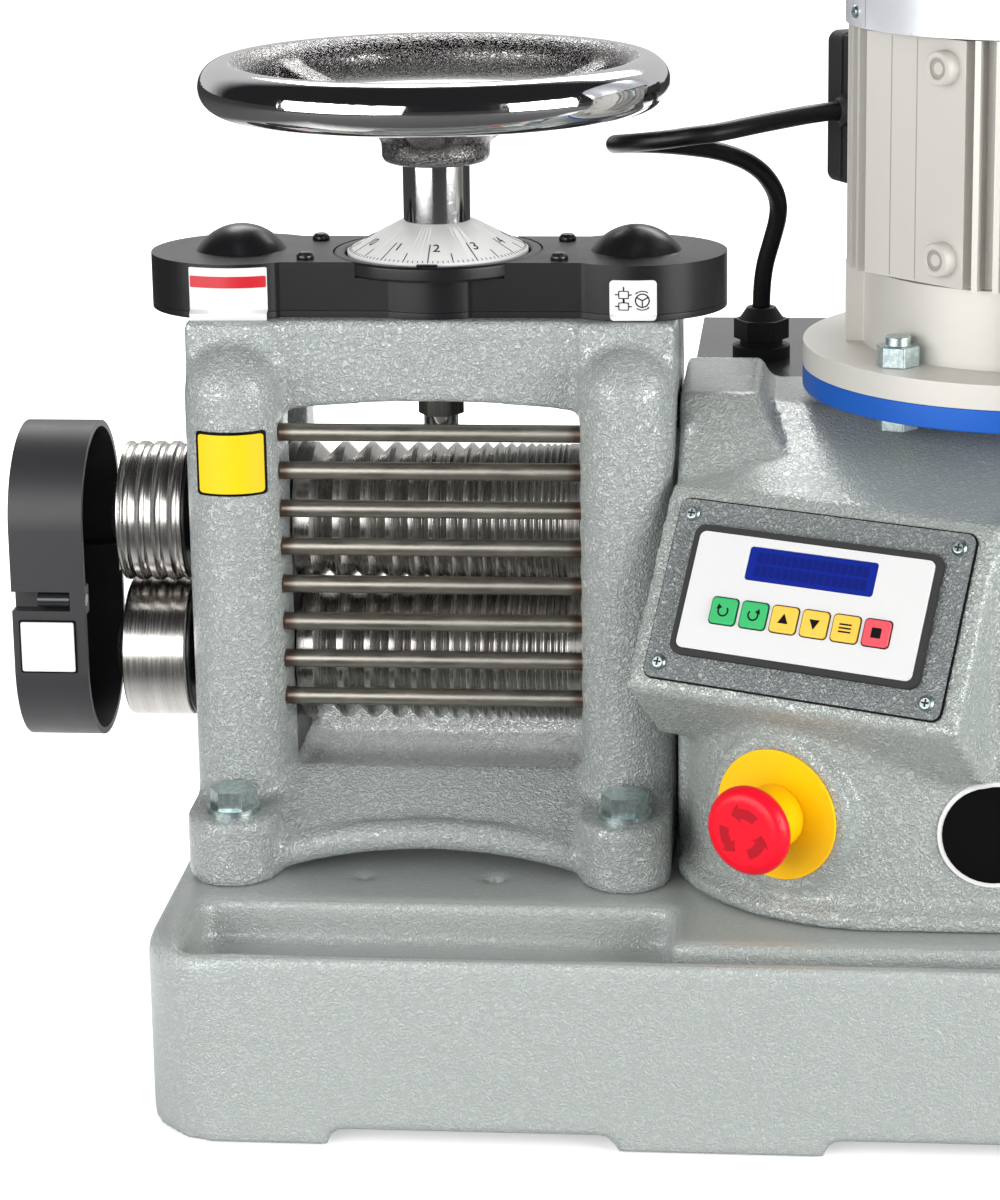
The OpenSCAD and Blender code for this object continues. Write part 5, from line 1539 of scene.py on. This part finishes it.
@dataclass
class Console:
    """Control panel with its display and keys, and the stop button.

    Attributes:
        keys: Body, finish and symbol of each key, from the left.
        key_pitch: Distance between keys.
        key_row: Height of the key row on the panel.
        key_face: Height of the keys' faces over the panel's seat.
        key_edge: Width, height and corner of the dark edge round a key, outside and inside.
        key_edge_levels: Heights of that edge's underside and top.
        print_levels: Underside and top of a symbol, from the key's face.
        seam: Width, height and corner of the panel's dark seam, outside and inside.
        seam_levels: Heights of the seam's underside and top.
        screw_spread: Width and height between the panel's screws.
        cross: Half length and half width of a screw's cross recess.
        cross_levels: Heights of the underside and top of the recess's two bars.
        window: Width and height of the display's opening.
        window_gap: How much smaller the glass is.
        window_at: Middle of the display.
        glass_corner: Corner radius of the glass.
        glass_levels: Heights of the glass's underside and face.
        cells: Count of character cells across and down.
        cell: Width, height and corner of a cell.
        cell_levels: Heights of a cell's underside and face.
        cell_spread: Width and height between the middles of the outer cells.
        arrow: Inner radius, outer radius, start and end of an arrow on the stop button, in degrees.
        arrow_tip: Angle that its head covers, in degrees.
        arrow_levels: Heights of its underside and face over the button.
        arrows: Count of the arrows.
        arrows_start: Turn of the first one, in radians.
        stop_face: Height over the stop button's seat from which the arrows are laid.
    """

    keys: tuple[tuple[str, Finish, Symbol], ...] = (
        ("key_forward", KEY_GREEN, Symbol.TURN_LEFT), ("key_reverse", KEY_GREEN, Symbol.TURN_RIGHT),
        ("key_up", KEY_AMBER, Symbol.UP), ("key_down", KEY_AMBER, Symbol.DOWN),
        ("key_mode", KEY_AMBER, Symbol.BARS), ("key_stop", KEY_RED, Symbol.SQUARE))
    key_pitch: float = 0.0143
    key_row: float = -0.008
    key_face: float = 0.0067
    key_edge: tuple[Triple, Triple] = ((0.0129, 0.0124, 0.0020), (0.0122, 0.0117, 0.0017))
    key_edge_levels: Pair = (0.0053, 0.0057)
    print_levels: Pair = (-0.00005, 0.00012)
    seam: tuple[Triple, Triple] = ((0.1394, 0.0814, 0.0047), (0.1376, 0.0796, 0.0038))
    seam_levels: Pair = (-0.0002, 0.0012)
    screw_spread: Pair = (0.125, 0.067)
    cross: Pair = (0.0017, 0.00042)
    cross_levels: tuple[Pair, Pair] = ((0.0034, 0.00394), (0.0035, 0.00396))
    window: Pair = (0.060, 0.015)
    window_gap: float = 0.0004
    window_at: Pair = (0.0, 0.0145)
    glass_corner: float = 0.0012
    glass_levels: Pair = (0.0046, 0.0053)
    cells: tuple[int, int] = (16, 2)
    cell: Triple = (0.0026, 0.0046, 0.0002)
    cell_levels: Pair = (0.00528, 0.00536)
    cell_spread: Pair = (0.0495, 0.0058)
    arrow: tuple[float, float, float, float] = (0.0068, 0.0112, 20, 72)
    arrow_tip: float = 26
    arrow_levels: Pair = (-0.0002, 0.00012)
    arrows: int = 3
    arrows_start: float = 0.5
    stop_face: float = 0.03

    def symbol(self, kind: Symbol) -> Solid:
        """Draws a plain key symbol round the origin.

        Args:
            kind: The symbol.

        Returns:
            The closed solid.
        """
        if kind in (Symbol.UP, Symbol.DOWN):
            side = 1 if kind is Symbol.UP else -1
            foot, point = -0.0018 * side, 0.0026 * side
            return slab([(-0.0024, foot), (0.0024, foot), (0.0, point)][::side], *self.print_levels)
        if kind is Symbol.BARS:
            half, thick = 0.0028, 0.0007
            return joined(slab(corners(-half, low, half, low + thick), *self.print_levels)
                          for low in (0.0013, -0.0003, -0.0019))
        if kind is Symbol.SQUARE:
            return slab(rounded(0.0044, 0.0044, 0.0004), *self.print_levels)
        return self.turn_arrow(-1 if kind is Symbol.TURN_RIGHT else 1)

    def turn_arrow(self, side: int) -> Solid:
        """Draws a round arrow about the origin.

        Args:
            side: 1 as drawn, -1 mirrored.

        Returns:
            The closed solid.
        """
        inner, outer, start, end, steps = 0.0019, 0.0026, 150, 400, 24
        turns = [start + (end - start) * i / steps for i in range(steps + 1)]
        bow = [polar(outer, t) for t in turns] + [polar(inner, t) for t in reversed(turns)]
        x, y = polar((inner + outer) / 2, start)
        tip = [(x - 0.0012, y - 0.0006), (x + 0.0013, y + 0.0002), (x - 0.0005, y + 0.0018)]
        return joined(slab([(x * side, y) for x, y in outline][::side], *self.print_levels)
                      for outline in (bow, tip))

    def key(self, place: int, body: str, finish: Finish, kind: Symbol) -> None:
        """Dresses a key and adds its symbol and the dark edge round it.

        Args:
            place: Its place in the row, from the left.
            body: Its body and node.
            finish: Its finish.
            kind: Its symbol.
        """
        dress_all(finish, 0.0006, body)
        x = (place - (len(self.keys) - 1) / 2) * self.key_pitch
        face = CONSOLE @ Matrix.Translation((x, self.key_row, self.key_face))
        add_piece(f"{body}_symbol", self.symbol(kind), face, PRINT_BLACK, body, "black_plastic")
        seat = CONSOLE @ Matrix.Translation((x, self.key_row, 0.0))
        edge = ring(*self.key_edge, *self.key_edge_levels)
        add_piece(f"{body}_edge", edge, seat, PRINT_BLACK, "machine", "black_plastic")

    def recesses(self) -> None:
        """Adds flat dark crosses, painted shade of the cross recesses of the four panel screws."""
        along, half = self.cross
        flat, upright = self.cross_levels
        slots = (slab(corners(-along, -half, along, half), *flat),
                 slab(corners(-half, -along, half, along), *upright))
        sizes = {"Across": 2, "Down": 2, "Width": self.screw_spread[0], "Height": self.screw_spread[1]}
        piece = CopyTree.make("screw_recesses", joined(slots), CopyTree.grid(), sizes, SOCKET_SHADE, CONSOLE)
        settle(piece, "machine", "steel")

    def display(self) -> None:
        """Builds the blue display with its rows of character cells."""
        place = CONSOLE @ Matrix.Translation((*self.window_at, 0.0))
        width, height = (side - self.window_gap for side in self.window)
        glass = slab(rounded(width, height, self.glass_corner), *self.glass_levels)
        add_piece("display_glass", glass, place, LCD_BLUE, "machine", "blue_enamel")
        cell = slab(rounded(*self.cell, steps=1), *self.cell_levels)
        sizes = dict(zip(("Across", "Down", "Width", "Height"), self.cells + self.cell_spread))
        cells = CopyTree.make("display_cells", cell, CopyTree.grid(), sizes, LCD_CELL, place)
        settle(cells, "machine", "blue_enamel")

    def stop_button(self) -> None:
        """Dresses the stop button and its yellow plate, and lays three turn arrows on its face."""
        dress_all(STOP_YELLOW, 0.0004, "estop_plate")
        dress_all(STOP_YELLOW, 0.0008, "estop_collar")
        keep_all(BLOCK_STEEL, "estop_stem")
        button = Carrier(Dress("estop_button", STOP_RED, size=0.0014).apply())
        arrow = arc(*self.arrow, tip=self.arrow_tip, steps=14)
        sizes = {"Count": self.arrows, "Step": 2 * math.pi / self.arrows, "Start": self.arrows_start}
        arrows = CopyTree.make("stop_arrows", arrow, CopyTree.round_axis(), sizes, STOP_MARK, Matrix())
        place = STOP @ Matrix.Translation((0.0, 0.0, self.stop_face))
        laid = button.lay(solid_of(arrows.data), place, *self.arrow_levels)
        arrows.data = mesh_of("stop_arrows", laid)
        wear(arrows, STOP_MARK)
        settle(arrows, "estop_button", "red_plastic")

    def dress(self) -> None:
        """Dresses the panel, the keys, the display and the stop button."""
        dress_all(PANEL_HAMMER, 0.0004, "panel_plate")
        dress_all(ZINC, 0.0003, "panel_screws")
        dress_all(BLACK_PLASTIC, 0.0008, "keypad_bezel")
        dress_all(PLATE_WHITE, 0.0003, "keypad_face")
        for place, key in enumerate(self.keys):
            self.key(place, *key)
        seam = ring(*self.seam, *self.seam_levels)
        add_piece("panel_seam", seam, CONSOLE, PRINT_BLACK, "machine", "black_plastic")
        self.recesses()
        self.display()
        self.stop_button()


@dataclass
class Drive:
    """Gearbox, motor, electrics box and the motor's cable.

    Attributes:
        route: Middle line of the cable, in millimetres.
        cable: Diameter of the cable.
        cable_steps: Pieces of the line between two points of the route.
        lug_at: Reach, shift and height of the lugs from the motor's axis.
        lug_pitch: Height between the lugs.
        lug_parts: Name, finish and profile of each part of a lug's blind hole, whose socket is a darker disc
            of painted shade.
        lug_steps: Faces round a hole.
        pad_reach: Distance of the pads' faces from the motor's axis.
        pad_seams: Places of the seams across a pad.
        pad_ends: How far the seams end from the motor body's foot and top.
        pad_turns: Name of the left and right pads, turn round the motor in degrees, and side.
        cowl_radius: Outer radius of the fan cowl.
        cowl_seam: Turn of the cowl's seam round the motor, in degrees.
        cowl_ends: How far that seam ends from the cowl's foot and top.
        cowl_screw: Turn of the cowl's first screw, in degrees.
        cowl_screw_rise: Height of the screws over the cowl's foot.
        screw_head: Profile of a screw's head.
        screw_steps: Faces round a screw's head.
        seam: Width of a seam.
        seam_depth: How far a seam reaches under its face and over it.
    """

    route: tuple[Triple, ...] = (
        (-16, 99, 296), (-16, 99, 309), (-15.5, 99, 320), (-14, 99, 330), (-11, 98, 341), (-8.5, 96.5, 351),
        (-8, 94, 359), (-10, 91, 367), (-15, 87.5, 375), (-22, 84, 381), (-30, 81, 385), (-38, 79, 387.5),
        (-47, 78, 389), (-59, 76, 390.5), (-70, 69.5, 392), (-78, 60, 393.5), (-82.5, 48, 395),
        (-82.5, 36, 397), (-78, 24, 399), (-70, 14.5, 401), (-59, 8, 403), (-47, 6, 405), (-37.5, 7.2, 406),
        (-29, 10.8, 407), (-18, 17.1, 408.5), (-7, 23.4, 409.8), (4, 29.8, 411), (13, 35, 411.7),
        (19, 38.4, 412), (25, 41.9, 412))
    cable: float = 0.0086
    cable_steps: int = 4
    lug_at: Triple = (0.079, 0.018, 0.406)
    lug_pitch: float = 0.082
    lug_parts: tuple[tuple[str, Finish, Profile], ...] = (
        # The socket disc is painted shade of the bore wall; the floor disc is the bore's bottom.
        ("socket", SEAM_AND_BORE_SHADE, ((0.0, -0.001), (0.0045, -0.001), (0.0045, 0.0001), (0.0, 0.0001))),
        ("collar", SILVER_CAST, ((0.0044, -0.001), (0.0074, -0.001), (0.0074, 0.0007), (0.0069, 0.0012),
                                 (0.0050, 0.0012), (0.0044, 0.0007), (0.0044, -0.001))),
        ("floor", SILVER_CAST, ((0.0, -0.0005), (0.0026, -0.0005), (0.0026, 0.0002), (0.0, 0.0002))))
    lug_steps: int = 40
    pad_reach: float = 0.074
    pad_seams: Pair = (-0.014, 0.001)
    pad_ends: Pair = (0.002, 0.002)
    pad_turns: tuple[tuple[str, float, int], ...] = (("left", 225.0, 1), ("right", 315.0, -1))
    cowl_radius: float = 0.082
    cowl_seam: float = 206.0
    cowl_ends: Pair = (0.0006, 0.011)
    cowl_screw: float = 199.0
    cowl_screw_rise: float = 0.0065
    screw_head: Profile = ((0.0, -0.0006), (0.0030, -0.0006), (0.0030, 0.0003), (0.0025, 0.0012),
                           (0.0013, 0.0018), (0.0, 0.0020))
    screw_steps: int = 24
    seam: float = 0.0005
    seam_depth: Pair = (0.0004, 0.0001)

    def cable_line(self) -> list[Vector]:
        """Draws a smooth curve through the cable's route.

        Returns:
            Points of the curve, in metres.
        """
        points = [Vector(point) * MM for point in self.route]
        ends = [points[0], *points, points[-1]]
        line = []
        for a, b, c, d in zip(ends, ends[1:], ends[2:], ends[3:]):
            for t in (k / self.cable_steps for k in range(self.cable_steps)):
                line.append(0.5 * (2 * b + (c - a) * t + (2 * a - 5 * b + 4 * c - d) * t ** 2
                                   + (3 * b - a - 3 * c + d) * t ** 3))
        return line + points[-1:]

    def cable_piece(self) -> None:
        line = self.cable_line()
        piece = new_piece("motor_cable_sheath", mesh_of("motor_cable_sheath", swept(line, self.cable)),
                          CABLE_SHEATH)
        settle(piece, "machine", "cable_rubber", "motor_cable")

    def lugs(self) -> None:
        """Adds the collars of the motor's mounting lugs and flat discs for their blind holes, the bore wall
        as painted shade.
        """
        reach, shift, height = self.lug_at
        sizes = {"Across": 1, "Down": 2, "Width": 0.0, "Height": self.lug_pitch}
        for name, turn, side in self.pad_turns:
            middle = Matrix.Translation((reach, shift * side, height))
            face = (Matrix.Translation(MOTOR) @ turned(turn, "Z") @ middle @ turned(90.0, "Y")
                    @ turned(90.0, "Z"))
            for part, finish, profile in self.lug_parts:
                hole = revolved(profile, self.lug_steps)
                piece = CopyTree.make(f"{name}_lug_{part}", hole, CopyTree.grid(), sizes, finish, face)
                settle(piece, "machine", "silver_enamel")

    def seam_line(self, node: str, ends: Pair, radius: float, across: float = 0.0) -> Solid:
        """Makes one upright line on a node's face, toward X.

        Args:
            node: The node, which gives the line's height.
            ends: How far the line ends from the node's foot and top.
            radius: Distance of the face from the motor's axis.
            across: Place of the line across the face.

        Returns:
            The closed solid about the motor's axis.
        """
        low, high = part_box(node)
        half, (under, over) = self.seam / 2, self.seam_depth
        return slab(corners(radius - under, across - half, radius + over, across + half), low[2] + ends[0],
                    high[2] - ends[1])

    def seams(self) -> None:
        """Adds the fine casting seams down the motor's four pads and the lap seam down its cowl."""
        for name, turn, side in self.pad_turns:
            lines = joined(self.seam_line("motor_body", self.pad_ends, self.pad_reach, side * across)
                           for across in self.pad_seams)
            piece = CopyTree.round_motor(f"{name}_pad_seams", lines, 2, turn, SEAM_AND_BORE_SHADE)
            settle(piece, "machine", "silver_enamel")
        lap = self.seam_line("fan_cowl", self.cowl_ends, self.cowl_radius)
        place = Matrix.Translation(MOTOR) @ turned(self.cowl_seam, "Z")
        add_piece("cowl_seam", lap, place, SEAM_AND_BORE_SHADE, "machine", "silver_enamel")

    def cowl_screws(self) -> None:
        """Adds the four round-headed screws at the foot of the cowl."""
        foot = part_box("fan_cowl")[0][2]
        head = revolved(self.screw_head, self.screw_steps)
        head.transform(Matrix.Translation((self.cowl_radius, 0.0, foot + self.cowl_screw_rise))
                       @ turned(90.0, "Y"))
        screws = CopyTree.round_motor("cowl_screws", head, 4, self.cowl_screw, ZINC)
        settle(screws, "machine", "steel")

    def dress(self) -> None:
        """Dresses the drive."""
        dress_all(BLUE_ENAMEL, 0.0008, "gearbox_case")
        dress_all(SILVER_CAST, 0.001, "motor_flange")
        dress_all(ZINC, 0.0005, "flange_bolts")
        dress_all(SILVER_CAST, 0.0005, "motor_body")
        dress_all(ZINC, 0.0003, "tie_rods")
        self.lugs()
        self.seams()
        self.cowl_screws()
        dress_all(SILVER_SHEET, 0.0004, "fan_cowl")
        dress_all(BLACK_PLASTIC, 0.0012, "terminal_box")
        dress_all(BLACK_PLASTIC, 0.0006, "cable_glands")
        dress_all(BLACK_GLOSS, 0.0012, "electrics_box")
        dress_all(BLACK_GLOSS, 0.0009, "electrics_cover")
        keep_all(BLOCK_STEEL, "motor_rotor")
        keep_all(BLACK_PLASTIC, "cooling_fan")


# Stage


@dataclass(frozen=True)
class Lamp:
    """A soft rectangular lamp.

    Attributes:
        name: The lamp's name.
        place: Where it stands.
        aim: Point that it faces.
        size: Width and height.
        watts: Its power.
    """

    name: str
    place: Triple
    aim: Triple
    size: Pair
    watts: float

    def light(self) -> None:
        """Sets the lamp up."""
        data = bpy.data.lights.new(self.name, "AREA")
        data.shape, data.energy = "RECTANGLE", self.watts
        data.size, data.size_y = self.size
        lamp = bpy.data.objects.new(self.name, data)
        turn = (Vector(self.aim) - Vector(self.place)).to_track_quat("-Z", "Y")
        lamp.matrix_world = Matrix.Translation(self.place) @ turn.to_matrix().to_4x4()
        bpy.context.scene.collection.objects.link(lamp)


@dataclass
class Studio:
    """Camera, lights, floor and surroundings.

    Attributes:
        yaw: Camera's turn to the right, in radians.
        pitch: Camera's tilt upward, in radians.
        roll: Camera's roll, in radians.
        focal: Focal length in pixels of the photograph's frame.
        shift: Camera shift as shares of the frame's long side.
        frame_side: Long side of the photograph's frame in pixels.
        sensor: Long side of the camera's sensor in millimetres.
        floor_size: Half the floor's side.
        floor_drop: How far the floor lies under the object.
        pale: Colour of the floor.
        dark: Colour of the floor where polished metal sees it in front and beside.
        white: Colour of the surround behind the object.
        room: Colour of the room behind the camera.
        mirrored_room: The same as polished metal sees it.
        lamps: The lamps.
    """

    yaw: float = -0.08596
    pitch: float = -0.24043
    roll: float = -0.0127
    focal: float = 3325.0
    shift: Pair = (-0.04, -0.12)
    frame_side: float = 1200.0
    sensor: float = 36.0
    floor_size: float = 30.0
    floor_drop: float = 0.0006
    pale: Rgba = (0.8, 0.8, 0.8, 1.0)
    dark: Rgba = (0.1, 0.1, 0.1, 1.0)
    white: Rgba = (0.95, 0.95, 0.95, 1.0)
    room: Rgba = (0.6, 0.605, 0.61, 1.0)
    mirrored_room: Rgba = (0.03, 0.03, 0.032, 1.0)
    lamps: tuple[Lamp, ...] = (
        Lamp("left_softbox", (-1.15, -1.25, 0.62), (-0.1, 0.0, 0.45), (1.9, 1.0), 28.0),
        Lamp("right_softbox", (1.45, -1.0, 0.62), (0.0, 0.0, 0.45), (1.2, 1.0), 33.0),
        Lamp("top_softbox", (0.0, 1.2, 1.5), (0.0, 0.0, 0.25), (1.6, 0.7), 22.0))

    def camera(self) -> None:
        """Sets the camera at the photograph's viewing angle."""
        data = bpy.data.cameras.new("camera")
        data.sensor_width, data.sensor_fit = self.sensor, "AUTO"
        data.lens = self.focal / self.frame_side * self.sensor
        data.shift_x, data.shift_y = self.shift
        data.clip_start, data.clip_end = 0.05, 60.0
        camera = bpy.data.objects.new("camera", data)
        bpy.context.scene.collection.objects.link(camera)
        right = Vector((math.cos(self.yaw), -math.sin(self.yaw), 0.0))
        level = Vector((math.sin(self.yaw), math.cos(self.yaw), 0.0))
        ahead = level * math.cos(self.pitch) + Vector((0.0, 0.0, math.sin(self.pitch)))
        turn = Matrix((right, right.cross(ahead), -ahead)).transposed().to_4x4()
        camera.matrix_world = Matrix.Translation(EYE) @ turn @ Matrix.Rotation(self.roll, 4, "Z")
        bpy.context.scene.camera = camera

    def floor(self) -> None:
        """Lays a plain pale floor that keeps the object's shadow."""
        build = bmesh.new()
        bmesh.ops.create_grid(build, x_segments=1, y_segments=1, size=self.floor_size,
                              matrix=Matrix.Translation((0.0, 0.0, -self.floor_drop)))
        mesh = bpy.data.meshes.new("floor")
        build.to_mesh(mesh)
        build.free()
        mesh.materials.append(self.floor_material())
        floor = bpy.data.objects.new("floor", mesh)
        bpy.context.scene.collection.objects.link(floor)

    def floor_material(self) -> bpy.types.Material:
        """Builds the floor's material: white to the camera, and dark in front and beside to polished metal.

        Returns:
            The new material.
        """
        material = bpy.data.materials.new("pale_floor")
        material.use_nodes = True
        material.node_tree.nodes.clear()
        graph = Graph(material.node_tree)
        rays = graph.add("ShaderNodeLightPath").outputs
        mirrored = graph.math("MAXIMUM", rays["Is Glossy Ray"], rays["Is Transmission Ray"])
        seen = graph.math("MAXIMUM", rays["Is Camera Ray"], mirrored)
        spot = graph.add("ShaderNodeTexCoord").outputs["Object"]
        sides = graph.axes(spot)
        beside = graph.ramp(graph.math("ABSOLUTE", sides["X"]), 0.35, 0.7)
        near = graph.math("MAXIMUM", graph.ramp(sides["Y"], -0.3, 0.0, 1.0, 0.0), beside)
        hidden = graph.math("MULTIPLY", near, rays["Is Glossy Ray"])
        matte = graph.add("ShaderNodeBsdfDiffuse", {"Color": graph.mix(hidden, self.pale, self.dark)})
        away = graph.add("ShaderNodeVectorMath", {0: spot}, operation="LENGTH").outputs["Value"]
        lit = graph.math("MULTIPLY", seen, graph.math("SUBTRACT", 1.0, hidden))
        strength = graph.math("MULTIPLY", lit, graph.ramp(away, 0.4, 1.3, 0.45, 1.0))
        glow = graph.add("ShaderNodeEmission", {"Color": (1.0, 1.0, 1.0, 1.0), "Strength": strength})
        both = graph.add("ShaderNodeAddShader", {0: matte.outputs[0], 1: glow.outputs[0]})
        graph.add("ShaderNodeOutputMaterial", {"Surface": both.outputs[0]})
        return material

    def world(self) -> None:
        """Sets a white surround behind the object and a dim room behind the camera."""
        world = bpy.data.worlds.new("studio")
        bpy.context.scene.world = world
        world.use_nodes = True
        world.node_tree.nodes.clear()
        graph = Graph(world.node_tree)
        back = graph.axes(graph.add("ShaderNodeTexCoord").outputs["Generated"])["Y"]
        rays = graph.add("ShaderNodeLightPath").outputs
        soft = graph.mix(graph.ramp(back, -0.2, 0.25), self.room, self.white)
        mirrored = graph.mix(graph.ramp(back, 0.4, 0.75), self.mirrored_room, self.white)
        colour = graph.mix(rays["Is Glossy Ray"], soft, mirrored)
        shown = graph.mix(rays["Is Camera Ray"], colour, (1.0, 1.0, 1.0, 1.0))
        strength = graph.math("ADD", graph.math("MULTIPLY", rays["Is Camera Ray"], 0.34), 0.66)
        light = graph.add("ShaderNodeBackground", {"Color": shown, "Strength": strength})
        graph.add("ShaderNodeOutputWorld", {"Surface": light.outputs[0]})

    def build(self) -> None:
        """Builds the stage."""
        bpy.context.scene.view_settings.view_transform = "Standard"
        self.camera()
        self.floor()
        self.world()
        for lamp in self.lamps:
            lamp.light()


def main() -> None:
    """Builds the stage and dresses the machine, sub-assembly by sub-assembly."""
    logging.basicConfig(level=logging.INFO, format="%(name)s: %(message)s")
    Studio().build()
    drive = Drive()
    drive.cable_piece()
    for assembly in (Castings(), Rolls(), Screwdown(), SideGuard(), Console(), drive):
        assembly.dress()


if __name__ == "__main__":
    main()
